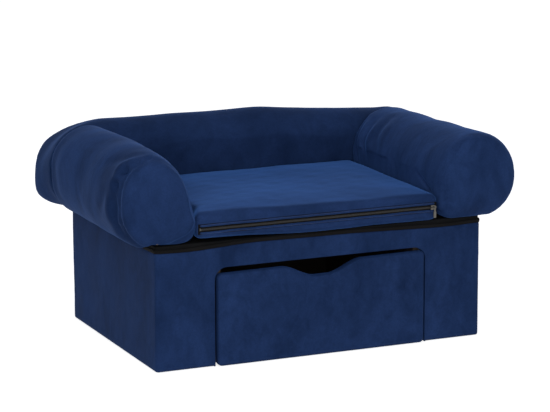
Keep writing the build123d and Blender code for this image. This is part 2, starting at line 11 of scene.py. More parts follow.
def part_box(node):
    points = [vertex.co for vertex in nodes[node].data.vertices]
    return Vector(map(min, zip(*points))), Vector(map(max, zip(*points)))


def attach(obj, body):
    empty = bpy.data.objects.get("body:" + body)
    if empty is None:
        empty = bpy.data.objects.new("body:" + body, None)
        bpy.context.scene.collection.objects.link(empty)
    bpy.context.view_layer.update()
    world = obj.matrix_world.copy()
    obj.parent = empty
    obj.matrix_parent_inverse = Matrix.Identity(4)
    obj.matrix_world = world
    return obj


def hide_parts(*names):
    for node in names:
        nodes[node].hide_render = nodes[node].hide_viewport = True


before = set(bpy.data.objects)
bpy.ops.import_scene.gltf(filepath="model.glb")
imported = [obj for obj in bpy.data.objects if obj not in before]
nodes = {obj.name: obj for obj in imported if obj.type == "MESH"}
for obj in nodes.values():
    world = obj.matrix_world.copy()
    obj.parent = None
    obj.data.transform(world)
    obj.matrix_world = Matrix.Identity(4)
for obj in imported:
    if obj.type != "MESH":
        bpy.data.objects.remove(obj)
scene = bpy.context.scene
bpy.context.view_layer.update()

MM = 0.001
TURN = 2 * math.pi
QUARTER = math.pi / 2


# Node trees and materials


class Tree:
    """A node tree with short ways to add nodes and to feed their sockets."""

    def __init__(self, owner):
        owner.use_nodes = True
        self.nodes = owner.node_tree.nodes
        self.links = owner.node_tree.links

    def feed(self, socket, value):
        """Gives a socket another socket's output, a colour or a plain value."""
        if isinstance(value, bpy.types.NodeSocket):
            self.links.new(value, socket)
        elif socket.type == "RGBA":
            socket.default_value = (*value, 1)
        else:
            socket.default_value = value

    def add(self, kind, inputs=None, **settings):
        node = self.nodes.new("ShaderNode" + kind)
        for key, value in settings.items():
            setattr(node, key, value)
        for key, value in (inputs or {}).items():
            self.feed(node.inputs[key], value)
        return node

    def math(self, operation, first, second):
        return self.add("Math", {0: first, 1: second}, operation=operation).outputs[0]

    def scaled(self, value, factor, shift):
        return self.math("ADD", self.math("MULTIPLY", value, factor), shift)

    def weighed(self, first, share, second):
        """The first value by its share and the second by what is left of 1."""
        return self.math("ADD", self.math("MULTIPLY", first, share),
                         self.math("MULTIPLY", second, 1 - share))

    def seen_directly(self):
        """A value of 1 for camera, glossy and transmission rays, and 0 for the rest."""
        rays = self.add("LightPath").outputs
        near = self.math("MAXIMUM", rays["Is Camera Ray"], rays["Is Glossy Ray"])
        return self.math("MAXIMUM", near, rays["Is Transmission Ray"])

    def coordinates(self, scale=(1, 1, 1)):
        place = self.add("TexCoord").outputs["Object"]
        return self.add("Mapping", {"Vector": place, "Scale": scale}).outputs["Vector"]

    def noise(self, vector, scale, detail=2.0, distortion=0.0, roughness=0.5):
        return self.add("TexNoise", {
            "Vector": vector, "Scale": scale, "Detail": detail, "Distortion": distortion,
            "Roughness": roughness,
        }).outputs["Fac"]

    def wave(self, vector, scale, direction, distortion):
        return self.add("TexWave", {"Vector": vector, "Scale": scale, "Distortion": distortion},
                        bands_direction=direction).outputs["Fac"]

    def ramp(self, value, stops):
        node = self.add("ValToRGB", {"Fac": value})
        elements = node.color_ramp.elements
        while len(elements) < len(stops):
            elements.new(0.5)
        for element, (place, colour) in zip(elements, stops):
            element.position = place
            element.color = (*colour, 1)
        return node.outputs["Color"]

    def tinted(self, factor, first, second):
        return self.add("Mix", {"Factor": factor, "A": first, "B": second},
                        data_type="RGBA", blend_type="MULTIPLY").outputs["Result"]


class Look(Tree):
    """A material under way, with its main shader."""

    def __init__(self, name):
        self.material = bpy.data.materials.new(name)
        super().__init__(self.material)
        self.shader = self.nodes["Principled BSDF"]

    def done(self, values, layers):
        """Feeds the shader, and stacks bumps that are given as (height, strength, distance)."""
        normal = None
        for height, strength, distance in layers:
            inputs = {"Height": height, "Strength": strength, "Distance": distance}
            if normal is not None:
                inputs["Normal"] = normal
            normal = self.add("Bump", inputs).outputs["Normal"]
        for key, value in {**values, "Normal": normal}.items():
            self.feed(self.shader.inputs[key], value)
        return self.material


def grey(value):
    return (value, value, value)


NAVY_STOPS = [
    (0.34, (0.0085, 0.0205, 0.064)), (0.5, (0.0128, 0.0295, 0.090)),
    (0.68, (0.0175, 0.0395, 0.120)),
]


def plush(name, stretch, blotch, seed, sheen, tone=1.0):
    """Velvet plush: a nap that lies in lighter and darker patches, with a soft sheen."""
    look = Look(name)
    shift = look.add("VectorMath", {0: look.coordinates(stretch), 1: grey(seed)}, operation="ADD")
    vector = shift.outputs[0]
    patches = look.noise(vector, blotch, 3.0, 0.8, 0.55)
    strokes = look.noise(vector, blotch * 4, 2.0, 1.2)
    fine = look.coordinates()
    pile = look.noise(fine, 900.0)
    specks = look.noise(fine, 320.0, 3.0)
    # tone scales the colours of the same plush: above 1 it is painted light, below 1 painted shade.
    stops = [(place, tuple(tone * c for c in shade)) for place, shade in NAVY_STOPS]
    colour = look.ramp(look.weighed(patches, 0.72, strokes), stops)
    grain = look.ramp(specks, [(0.3, grey(0.90)), (0.7, grey(1.08))])
    return look.done({
        "Base Color": look.tinted(1.0, colour, grain),
        "Roughness": look.scaled(patches, 0.18, 0.66),
        "Specular IOR Level": 0.05, "Specular Tint": (0.30, 0.50, 1.0),
        "Sheen Weight": sheen, "Sheen Roughness": 0.34, "Sheen Tint": (0.12, 0.34, 1.0),
    }, [(strokes, 0.22, 1.6 * MM), (specks, 0.22, 0.5 * MM), (pile, 0.35, 0.25 * MM)])


plush_base = plush("plush_base", (1, 1, 0.6), 11.0, 0.0, 0.12)
plush_drawer = plush("plush_drawer", (1, 1, 0.7), 14.0, 3.7, 0.12)
plush_left_arm = plush("plush_left_arm", (1, 1.4, 0.6), 10.0, 1.3, 0.18)
# The right arm's plush is painted lighter (painted light) and the back's darker (painted shade) than
# the same fabric elsewhere.
plush_right_arm = plush("plush_right_arm", (1, 1.4, 0.6), 10.0, 2.4, 0.24, 1.16)
plush_back = plush("plush_back", (0.8, 1, 0.6), 10.0, 4.2, 0.16, 0.84)
plush_cushion = plush("plush_cushion", (0.7, 1, 1), 9.0, 5.1, 0.60)


def woven(name, dark, light, thread):
    """Plain weave with threads of the given width."""
    look = Look(name)
    vector = look.coordinates()
    turns = math.pi / (10 * thread)
    warp, weft, depth = (look.wave(vector, turns, axis, 0.4) for axis in "XZY")
    mesh = look.math("MAXIMUM", look.math("MULTIPLY", warp, weft),
                     look.math("MULTIPLY", warp, depth))
    dirt = look.noise(vector, 30.0, 3.0)
    return look.done({
        "Base Color": look.ramp(look.weighed(mesh, 0.55, dirt), [(0.15, dark), (0.85, light)]),
        "Roughness": look.scaled(dirt, 0.1, 0.80), "Specular IOR Level": 0.08,
    }, [(mesh, 0.5, thread / 2)])


black_cloth = woven("black_cloth", (0.0022, 0.0024, 0.0028), (0.010, 0.010, 0.011), 0.9 * MM)
dust_weave = woven("dust_weave", (0.004, 0.004, 0.0045), (0.020, 0.020, 0.021), 0.6 * MM)
brown_tape = woven("brown_tape", (0.0030, 0.0030, 0.0036), (0.0105, 0.0098, 0.0100), 0.7 * MM)
zip_cloth = woven("zip_cloth", (0.0030, 0.0030, 0.0034), (0.0100, 0.0092, 0.0086), 0.5 * MM)

PLY_SHEET = 2.4 * MM
PLYWOOD = ((0.58, 0.40, 0.22), (0.40, 0.25, 0.12))
# Painted shade: wood darkened for the boards that sit in the shade of the drawer's gap.
SHADE_PAINTED_WOOD = ((0.030, 0.020, 0.014), (0.014, 0.009, 0.006))
PINE = ((0.66, 0.46, 0.25), (0.48, 0.29, 0.13))


def wood(name, colours, grain_axis, ply_axis=None):
    """Sawn wood, grain along one axis. With an axis across its plies, it shows veneers."""
    look = Look(name)
    pale, dark = colours
    rings = 30.0 if ply_axis else 38.0
    vector = look.coordinates(tuple(0.06 if axis == grain_axis else 1 for axis in "XYZ"))
    grain = look.noise(vector, rings * 2, 5.0, 0.6, 0.6)
    fibre = look.noise(vector, rings * 22, 3.0)
    stops = [(0.32, dark), (0.56, pale), (0.75, tuple(c * 1.08 for c in pale))]
    pores = look.ramp(fibre, [(0.3, (0.78, 0.76, 0.72)), (0.6, grey(1.05))])
    colour = look.tinted(0.8, look.ramp(grain, stops), pores)
    if ply_axis:
        layers = look.wave(look.coordinates(), math.pi / (10 * PLY_SHEET), ply_axis, 0.2)
        lines = look.ramp(layers, [(0.12, (0.62, 0.56, 0.50)), (0.4, (1, 1, 1))])
        colour = look.tinted(0.45, colour, lines)
    return look.done({"Base Color": colour, "Roughness": look.scaled(fibre, 0.2, 0.5)},
                     [(grain, 0.12, 0.5 * MM), (fibre, 0.2, 0.2 * MM)])


def hardboard():
    look = Look("hardboard")
    vector = look.coordinates()
    chips = look.noise(vector, 420.0, 4.0)
    cloud = look.noise(vector, 18.0, 3.0)
    speck = look.ramp(chips, [(0.3, (0.085, 0.045, 0.022)), (0.7, (0.19, 0.11, 0.055))])
    tone = look.ramp(cloud, [(0.35, grey(0.85)), (0.65, grey(1.1))])
    return look.done({"Base Color": look.tinted(1.0, speck, tone),
                      "Roughness": look.scaled(cloud, 0.25, 0.35)}, [(chips, 0.15, 0.15 * MM)])


def metal(name, colour, scale=(1, 1, 1)):
    """Plated metal with fine scratches and slightly uneven tone."""
    look = Look(name)
    vector = look.coordinates(scale)
    tone = look.noise(vector, 220.0, 3.0)
    scratches = look.noise(vector, 1600.0, 4.0)
    low = tuple(c * 0.78 for c in colour)
    return look.done({
        "Base Color": look.ramp(tone, [(0.3, low), (0.7, colour)]),
        "Roughness": look.scaled(scratches, 0.22, 0.32), "Metallic": 1.0,
    }, [(scratches, 0.12, 0.05 * MM)])


def moulded(name, dark, light, rough):
    look = Look(name)
    vector = look.coordinates()
    grain = look.noise(vector, 1100.0)
    cloud = look.noise(vector, 60.0, 3.0)
    return look.done({"Base Color": look.ramp(cloud, [(0.3, dark), (0.7, light)]),
                      "Roughness": look.scaled(grain, 0.15, rough)}, [(grain, 0.3, 0.1 * MM)])


zip_metal = metal("zip_metal", (0.115, 0.110, 0.100), (1, 1, 0.3))
coil_nylon = moulded("coil_nylon", (0.0050, 0.0046, 0.0042), (0.0105, 0.0092, 0.0080), 0.55)
glide_black = moulded("glide_black", (0.006, 0.006, 0.0065), (0.013, 0.013, 0.014), 0.5)
thread_blue = moulded("thread_blue", (0.016, 0.030, 0.095), (0.030, 0.052, 0.150), 0.6)

# The boards next to the drawer's opening and those of the drawer have a dark painted shade in place
# of their own wood colour, for the shade in the gap round the drawer.
SHOWN_SOLIDS = [
    (wood("plywood_across_x", PLYWOOD, "Z", "X"),
     "side_panel_left side_panel_right arm_board_left arm_board_right"),
    (wood("plywood_across_y", PLYWOOD, "X", "Y"), "back_panel back_board"),
    (wood("plywood_across_z", PLYWOOD, "X", "Z"), "deck_board"),
    (wood("painted_shade_across_x", SHADE_PAINTED_WOOD, "Z", "X"),
     "divider_left divider_right drawer_side_left drawer_side_right"),
    (wood("painted_shade_across_y", SHADE_PAINTED_WOOD, "X", "Y"), "front_panel drawer_front_board drawer_back"),
    (wood("painted_shade_along_y", SHADE_PAINTED_WOOD, "Y"),
     "drawer_runner_left drawer_runner_right drawer_kicker_left drawer_kicker_right"),
    (wood("pine_along_x", PINE, "X"), "back_foot"),
    (wood("pine_along_y", PINE, "Y"), "arm_foot_left arm_foot_right"),
    (wood("pine_along_z", PINE, "Z"),
     "corner_post_front_left corner_post_front_right corner_post_rear_left "
     "corner_post_rear_right drawer_stops"),
    (hardboard(), "drawer_bottom"),
    (metal("zinc_plate", (0.62, 0.61, 0.58)),
     "deck_screws frame_bolts frame_washers frame_tee_nuts drawer_screws"),
    (zip_metal, "zip_slider zip_pull"),
    (glide_black, "glides"),
]
for material, names in SHOWN_SOLIDS:
    for name in names.split():
        mesh = nodes[name].data
        mesh.materials.clear()
        mesh.materials.append(material)


# Mesh helpers


def points_of(piece):
    flat = np.empty(len(piece.data.vertices) * 3)
    piece.data.vertices.foreach_get("co", flat)
    return flat.reshape(-1, 3)


def normals_of(piece):
    flat = np.empty(len(piece.data.vertices) * 3)
    piece.data.vertex_normals.foreach_get("vector", flat)
    return flat.reshape(-1, 3)


def set_points(piece, points):
    piece.data.vertices.foreach_set("co", np.ascontiguousarray(points, float).ravel())
    piece.data.update()


def new_piece(name, points, faces):
    mesh = bpy.data.meshes.new(name)
    mesh.from_pydata([tuple(p) for p in points], [], faces)
    mesh.update()
    piece = bpy.data.objects.new(name, mesh)
    scene.collection.objects.link(piece)
    return piece


def tidy_faces(piece, weld=0.01 * MM):
    """Welds points that meet, turns all faces outwards and shades them smooth."""
    work = bmesh.new()
    work.from_mesh(piece.data)
    bmesh.ops.remove_doubles(work, verts=work.verts, dist=weld)
    bmesh.ops.recalc_face_normals(work, faces=work.faces)
    for face in work.faces:
        face.smooth = True
    work.to_mesh(piece.data)
    work.free()
    piece.data.update()


def modify(piece, kind, **settings):
    """Applies one modifier with its settings."""
    modifier = piece.modifiers.new("change", kind)
    for key, value in settings.items():
        setattr(modifier, key, value)
    graph = bpy.context.evaluated_depsgraph_get()
    mesh = bpy.data.meshes.new_from_object(piece.evaluated_get(graph))
    old = piece.data
    piece.modifiers.clear()
    piece.data = mesh
    mesh.name = piece.name
    bpy.data.meshes.remove(old)
    mesh.polygons.foreach_set("use_smooth", [True] * len(mesh.polygons))


def group_points(piece, name, mask):
    group = piece.vertex_groups.new(name=name)
    group.add([int(i) for i in np.nonzero(mask)[0]], 1.0, "REPLACE")


def relax(piece, times, free=None):
    """Smooths a piece. With free, a mask of its points, the rest keep their edges."""
    settings = {"factor": 0.5, "iterations": times}
    if free is not None:
        group_points(piece, "free", free)
        settings["vertex_group"] = "free"
    modify(piece, "SMOOTH", **settings)
    piece.vertex_groups.clear()


def subdivide(piece):
    modify(piece, "SUBSURF", levels=1)


def thicken(piece, thickness, offset=-1.0):
    modify(piece, "SOLIDIFY", thickness=thickness, offset=offset)


def grid_faces(rows, columns, closed=False, start=0):
    faces = []
    for i in range(rows - 1):
        for j in range(columns if closed else columns - 1):
            near = start + i * columns
            far = near + columns
            k = (j + 1) % columns
            faces.append((near + j, near + k, far + k, far + j))
    return faces


def loft(name, rings):
    """Closed form through rings of points, with a point in the middle of each end."""
    rings = np.asarray(rings)
    count, around = rings.shape[:2]
    points = list(rings.reshape(-1, 3)) + [rings[0].mean(0), rings[-1].mean(0)]
    faces = grid_faces(count, around, True)
    first, last = len(points) - 2, len(points) - 1
    start = (count - 1) * around
    for j in range(around):
        k = (j + 1) % around
        faces.append((k, j, first))
        faces.append((start + j, start + k, last))
    piece = new_piece(name, points, faces)
    tidy_faces(piece)
    return piece


def smooth_step(value, low, high):
    share = np.clip((value - low) / (high - low), 0, 1)
    return share * share * (3 - 2 * share)


def ripple(points, length, seed, waves=7):
    """Smooth noise from -1 to 1 with features of about the given length."""
    random = np.random.RandomState(seed)
    total = np.zeros(len(points))
    for _ in range(waves):
        direction = random.normal(size=3)
        direction /= np.linalg.norm(direction)
        turns = random.uniform(0.7, 1.6) / length
        total += np.sin(points @ direction * turns * TURN + random.uniform(0, TURN))
    return total / math.sqrt(waves * 2)


def push(piece, amounts):
    """Moves each point along its normal by its amount."""
    set_points(piece, points_of(piece) + normals_of(piece) * np.asarray(amounts)[:, None])


def limit(piece, axis, low=None, high=None):
    points = points_of(piece)
    points[:, axis] = np.clip(points[:, axis], low, high)
    set_points(piece, points)


class Seam:
    """A closed sewn line, which answers how far a point is from it and how far round it lies."""

    def __init__(self, points, samples=900):
        loop = np.vstack([points, points[:1]])
        steps = np.linalg.norm(np.diff(loop, axis=0), axis=1)
        along = np.concatenate([[0], np.cumsum(steps)])
        self.length = along[-1]
        self.samples = samples
        places = np.linspace(0, self.length, samples, endpoint=False)
        self.tree = kdtree.KDTree(samples)
        for index, place in enumerate(places):
            self.tree.insert([np.interp(place, along, loop[:, k]) for k in range(3)], index)
        self.tree.balance()

    def measure(self, points):
        found = [self.tree.find(point) for point in points]
        distance = np.array([item[2] for item in found])
        return distance, np.array([item[1] for item in found]) / self.samples

    def strength(self, marks):
        """Strength round the seam, given as marks of a place in millimetres and a value."""
        table = sorted((self.tree.find(np.array(place) * MM)[1] / self.samples, value)
                       for place, value in marks)
        shares, values = np.array(table).T
        return lambda share: np.interp(share, shares, values, period=1.0)


EVEN_TIMES = 70


def even_out(piece, moved):
    """Averages each point's movement with its neighbours', so that only broad swells stay."""
    ends = np.empty(len(piece.data.edges) * 2, int)
    piece.data.edges.foreach_get("vertices", ends)
    first, second = ends.reshape(-1, 2).T
    count = len(moved)
    degree = np.bincount(ends, minlength=count)[:, None]
    for _ in range(EVEN_TIMES):
        total = np.stack([
            np.bincount(first, moved[second, axis], count)
            + np.bincount(second, moved[first, axis], count)
            for axis in range(3)
        ], 1)
        moved = 0.5 * moved + 0.5 * total / degree
    return moved


def inflate(piece, pinned, cap):
    """Blows the cloth up from inside with its pinned points held, evens its wrinkles out and
    limits how far it moves."""
    start = points_of(piece)
    group_points(piece, "pinned", pinned)
    cloth = piece.modifiers.new("cloth", "CLOTH")
    settings = {
        "quality": 5, "mass": 0.3, "tension_stiffness": 15.0, "compression_stiffness": 15.0,
        "bending_stiffness": 0.4, "use_pressure": True, "uniform_pressure_force": 4.0,
        "vertex_group_mass": "pinned",
    }
    for key, value in settings.items():
        setattr(cloth.settings, key, value)
    cloth.settings.effector_weights.gravity = 0
    cloth.collision_settings.use_collision = False
    last = 20
    cloth.point_cache.frame_start = 1
    cloth.point_cache.frame_end = last
    for step in range(1, last + 1):
        scene.frame_set(step)
    graph = bpy.context.evaluated_depsgraph_get()
    flat = np.empty(len(start) * 3)
    piece.evaluated_get(graph).data.vertices.foreach_get("co", flat)
    piece.modifiers.remove(cloth)
    piece.vertex_groups.clear()
    moved = even_out(piece, flat.reshape(-1, 3) - start)
    length = np.maximum(np.linalg.norm(moved, axis=1), 1e-9)
    moved *= (cap * np.tanh(length / cap) / length)[:, None]
    set_points(piece, start + moved)
    scene.frame_set(1)


def sink_seam(piece, seam, depth, width, strength=None):
    distance, share = seam.measure(points_of(piece))
    amount = depth * np.exp(-(distance / width) ** 2)
    push(piece, -amount * (strength(share) if strength else 1))


def pucker(piece, seam, pitch, height, reach, strength, seed):
    """Fine gathers that run across a seam. Strength is a function of the share round it."""
    distance, share = seam.measure(points_of(piece))
    count = round(seam.length / pitch)
    random = np.random.RandomState(seed)

    def wander(turns, low, high):
        return sum(
            random.uniform(low, high) * np.sin(TURN * (k * share + random.uniform()))
            for k in turns
        )

    ridges = np.sin(TURN * count * share + wander((5, 9, 14, 23), 0.3, 0.9))
    ridges += 0.6 * np.sin(TURN * round(count * 0.62) * share + wander((4, 7, 11, 19), 0.3, 0.9))
    patches = np.clip(0.55 + 0.5 * wander((6, 10, 17, 27), 0.4, 0.8), 0, 1.3)
    beside = 1 - np.exp(-(distance / (3 * MM)) ** 2)
    fade = np.exp(-(distance / reach) ** 2) * beside
    push(piece, height * ridges * fade * patches * strength(share))


def press_creases(piece, creases):
    """Soft folds, each pressed in along a path of points and with a raised shoulder on each
    side. A crease is (path, width, depth, shoulder's share), in millimetres."""
    for path, width, depth, shoulder in creases:
        points = points_of(piece)
        path = np.array(path) * MM
        best = np.full(len(points), 1e9)
        fade = np.zeros(len(points))
        steps = len(path) - 1
        for index in range(steps):
            start, run = path[index], path[index + 1] - path[index]
            share = np.clip((points - start) @ run / (run @ run), 0, 1)
            distance = np.linalg.norm(points - start - share[:, None] * run, axis=1)
            closer = distance < best
            best[closer] = distance[closer]
            place = (index + share[closer]) / steps
            fade[closer] = np.sin(np.pi * np.clip(place, 0.04, 0.96)) ** 0.6
        far = best / (width * MM)
        push(piece, depth * MM * fade * (shoulder * np.exp(-(far - 1.9) ** 2) - np.exp(-far ** 2)))


def press_pits(piece, pits):
    """Deep dimples with a soft rim, each at the point of the surface nearest its place. A pit
    is (place, radius, depth), in millimetres."""
    for place, radius, depth in pits:
        points = points_of(piece)
        spot = points[np.argmin(np.linalg.norm(points - np.array(place) * MM, axis=1))]
        far = np.linalg.norm(points - spot, axis=1) / (radius * MM)
        push(piece, depth * MM * (0.10 * np.exp(-((far - 2.0) / 0.8) ** 2) - np.exp(-far ** 2)))


def finish_piece(piece, material, body, replaced=()):
    piece.data.materials.clear()
    piece.data.materials.append(material)
    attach(piece, body)
    if replaced:
        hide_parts(*replaced)


# Camera, light and floor

CAMERA_PLACE = Vector((-1.8407, -4.2123, 1.2033))
CAMERA_TARGET = Vector((0.0126, 0.0105, 0.2190))
CAMERA_ROLL = math.radians(-0.19)
CAMERA_LENS = 170.18


def add_camera():
    ahead = (CAMERA_TARGET - CAMERA_PLACE).normalized()
    right = ahead.cross(Vector((0, 0, 1))).normalized()
    up = right.cross(ahead)
    cosine = math.cos(CAMERA_ROLL)
    sine = math.sin(CAMERA_ROLL)
    side = right * cosine + up * sine
    top = up * cosine - right * sine
    turned = Matrix((side, top, -ahead)).transposed().to_4x4()
    data = bpy.data.cameras.new("camera")
    data.lens = CAMERA_LENS
    data.clip_start = 0.05
    data.clip_end = 50
    camera = bpy.data.objects.new("camera", data)
    camera.matrix_world = Matrix.Translation(CAMERA_PLACE) @ turned
    scene.collection.objects.link(camera)
    scene.camera = camera


def add_lamp(name, place, target, size, watts):
    data = bpy.data.lights.new(name, "AREA")
    data.shape = "RECTANGLE"
    data.size, data.size_y = size
    data.energy = watts
    lamp = bpy.data.objects.new(name, data)
    lamp.location = place
    aim = Vector(target) - Vector(place)
    lamp.rotation_euler = aim.to_track_quat("-Z", "Y").to_euler()
    scene.collection.objects.link(lamp)


def add_world():
    scene.world = bpy.data.worlds.new("studio")
    tree = Tree(scene.world)
    shades = {"Factor": tree.seen_directly(), "A": (0.40, 0.41, 0.44), "B": (1, 1, 1)}
    background = tree.nodes["Background"].inputs
    tree.feed(background["Color"], tree.add("Mix", shades, data_type="RGBA").outputs["Result"])
    background["Strength"].default_value = 1.0


def add_floor():
    size = 30.0
    corners = [(-size, -size, 0), (size, -size, 0), (size, size, 0), (-size, size, 0)]
    floor = new_piece("floor", corners, [(0, 1, 2, 3)])
    material = bpy.data.materials.new("floor_white")
    tree = Tree(material)
    tree.nodes.clear()
    matte = tree.add("BsdfDiffuse", {"Color": grey(0.78)})
    strength = tree.math("MULTIPLY", tree.seen_directly(), 0.75)
    glow = tree.add("Emission", {"Color": grey(1), "Strength": strength})
    both = tree.add("AddShader", {0: matte.outputs[0], 1: glow.outputs[0]})
    tree.add("OutputMaterial", {"Surface": both.outputs[0]})
    floor.data.materials.append(material)


scene.view_settings.view_transform = "Standard"
add_camera()
add_world()
add_floor()
add_lamp("top_soft", (-0.9, -0.9, 2.7), (0, 0, 0.2), (2.2, 2.0), 11)
add_lamp("front_soft", (-1.3, -3.4, 1.1), (0, 0, 0.25), (2.2, 1.6), 50)
add_lamp("right_soft", (2.8, -2.0, 1.4), (0, 0, 0.25), (1.6, 1.6), 8)


# Sizes that follow the frame

deck_low, deck_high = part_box("deck_cloth")
base_low, base_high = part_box("base_cover")
left_arm_low, left_arm_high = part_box("arm_cover_left")
right_arm_low, right_arm_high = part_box("arm_cover_right")
back_low, back_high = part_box("back_cover")
cushion_low, cushion_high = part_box("cushion_cover")
drawer_low, drawer_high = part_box("drawer_front_cover")
coil_low, coil_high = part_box("zip_coil")
stop_low, stop_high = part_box("zip_stops")
zip_tape_low, zip_tape_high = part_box("zip_tape")
board_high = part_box("drawer_front_board")[1]
foot_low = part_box("arm_foot_left")[0]
rest_level = left_arm_low.z
arm_inner = right_arm_low.x
arm_front = right_arm_low.y
arm_rear = right_arm_high.y
arm_width = right_arm_high.x - arm_inner


# Arms

ARM_STEPS = 120
ARM_SKIN = 0.5 * MM
VOXEL = 5 * MM
BULGE = 5 * MM
SLUMP_TURNS = (-40, 0, 20, 45, 70, 90, 120, 150, 180)
FOOT_LIFT = 0.42  # how far the front's inner foot is raised, for each length from the middle
LEFT_SLUMP = [
    (-240, (0, 4, 16, 25, 28, 25, 20, 15, 8)),
    (-206, (0, 4, 15, 22, 24, 20, 14, 10, 5)),
    (-180, (0, 3, 12, 17, 17, 12, 5, 2, 0)),
    (-100, (0, 2, 9, 12, 9, 4, 1, 0, 0)),
    (0, (0, 1, 7, 9, 5, 1, 0, 0, 0)),
    (129, (0, 1, 7, 7, 3, 0, 0, 0, 0)),
]
LEFT_SEAM = [
    ((-372, -210, 300), 1.3), ((-340, -220, 360), 0.9), ((-310, -220, 370), 0.25),
    ((-260, -235, 330), 0.35), ((-245, -240, 260), 0.3), ((-280, -230, 225), 0.2),
    ((-360, -210, 240), 1.1),
]
LEFT_PITS = [
    ((-316, -208, 374), 6, 4.0), ((-334, -200, 370), 7, 2.5), ((-355, -196, 353), 10, 15.0),
    ((-369, -190, 330), 8, 8.0), ((-376, -186, 292), 13, 5.0),
]
LEFT_CREASES = [
    ([(-368, -196, 338), (-377, -190, 300), (-374, -190, 262), (-352, -198, 232)], 13, 9.0, 0.12),
    ([(-312, -200, 378), (-340, -170, 368), (-362, -110, 350)], 11, 2.0, 0.2),
    ([(-374, -185, 322), (-376, -150, 300), (-374, -120, 270)], 12, 2.4, 0.2),
    ([(-372, -190, 255), (-372, -150, 250), (-360, -110, 240)], 10, 2.0, 0.2),
    ([(-360, -55, 350), (-377, -30, 300), (-365, -10, 245)], 30, 3.6, 0.2),
    ([(-350, 100, 360), (-377, 105, 300), (-370, 100, 250)], 16, 1.8, 0.3),
]
RIGHT_SEAM = [
    ((235, -238, 300), 0.8), ((235, -238, 250), 1.2), ((280, -230, 230), 0.5),
    ((360, -210, 260), 0.25), ((370, -206, 310), 0.25), ((300, -220, 350), 0.2),
]
RIGHT_CREASES = [
    ([(241, -246, 322), (262, -251, 318), (290, -252, 320)], 5, 3.0, 0.2),
    ([(240, -246, 313), (252, -250, 310), (268, -252, 306)], 4.5, 2.4, 0.2),
    ([(250, -235, 352), (238, -243, 336), (236, -244, 312)], 11, 1.8, 0.2),
    ([(224, -160, 262), (226, -200, 246), (234, -238, 232)], 5, 6.0, 0.45),
    ([(224, -140, 290), (226, -190, 268), (238, -243, 244)], 6, 6.0, 0.45),
    ([(245, 120, 345), (229, 115, 300), (226, 100, 272)], 9, 5.0, 0.45),
    ([(252, 85, 350), (230, 85, 305), (226, 60, 272)], 10, 4.2, 0.45),
    ([(262, 45, 356), (236, 45, 322), (227, 20, 290)], 12, 3.6, 0.45),
    ([(240, -10, 330), (229, -40, 295), (227, -80, 272)], 15, 2.0, 0.45),
]


def roll_outline(width, height, inner_foot, outer_foot, steps):
    """Section of a roll as evenly spaced points: across from its inner side, and up."""
    crest = width / 2

    def arc(across, up, radius, start, sweep):
        angles = start + sweep * np.linspace(0, 1, 40)
        return np.stack([across + radius * np.cos(angles), up + radius * np.sin(angles)], 1)

    path = np.vstack([
        arc(inner_foot, inner_foot, inner_foot, 2 * QUARTER, QUARTER),
        arc(width - outer_foot, outer_foot, outer_foot, -QUARTER, QUARTER),
        arc(crest, height - crest, crest, 0, 2 * QUARTER),
    ])
    loop = np.vstack([path, path[:1]])
    along = np.concatenate([[0], np.cumsum(np.linalg.norm(np.diff(loop, axis=0), axis=1))])
    places = np.linspace(0, along[-1], steps, endpoint=False)
    return np.stack([np.interp(places, along, loop[:, k]) for k in range(2)], 1)


def slump_amounts(table, turn, y):
    """How far the roll's surface has sunk in at each place in y and each turn from the crest.
    A turn is 90 degrees at the height of the roll's middle and 180 at the inner foot."""
    marks = [place * MM for place, _ in table]
    total = np.zeros(len(turn))
    for one, (_, row) in zip(np.eye(len(marks)), table):
        total += np.interp(y, marks, one) * np.interp(turn, SLUMP_TURNS, row)
    return total * MM


def slumped(across, up, y, width, height, table):
    """Section of a roll after its filling has sunk away from the inner side."""
    crest = width / 2
    centre = height - crest
    from_side = crest - across
    above = np.degrees(np.arctan2(from_side, np.maximum(up - centre, 1e-6)))
    below = 90 + 90 * (centre - up) / centre
    upper = up > centre
    turn = np.where(upper, above, np.where(from_side > 0, below, -90))
    amount = slump_amounts(table, turn, y)
    away = np.hypot(from_side, up - centre) + 1e-9
    fade = smooth_step(from_side, 0, 0.6 * crest)
    moved_across = across + amount * np.where(upper, from_side / away, fade)
    moved_up = up - amount * np.where(upper, (up - centre) / away, 0)
    low_part = 1 - smooth_step(up, 0, 65 * MM)
    before_foot = smooth_step(-y, 9 * MM - foot_low.y, 21 * MM - foot_low.y)
    lift = FOOT_LIFT * np.clip(from_side, 0, None) * low_part * before_foot
    return moved_across, moved_up + lift


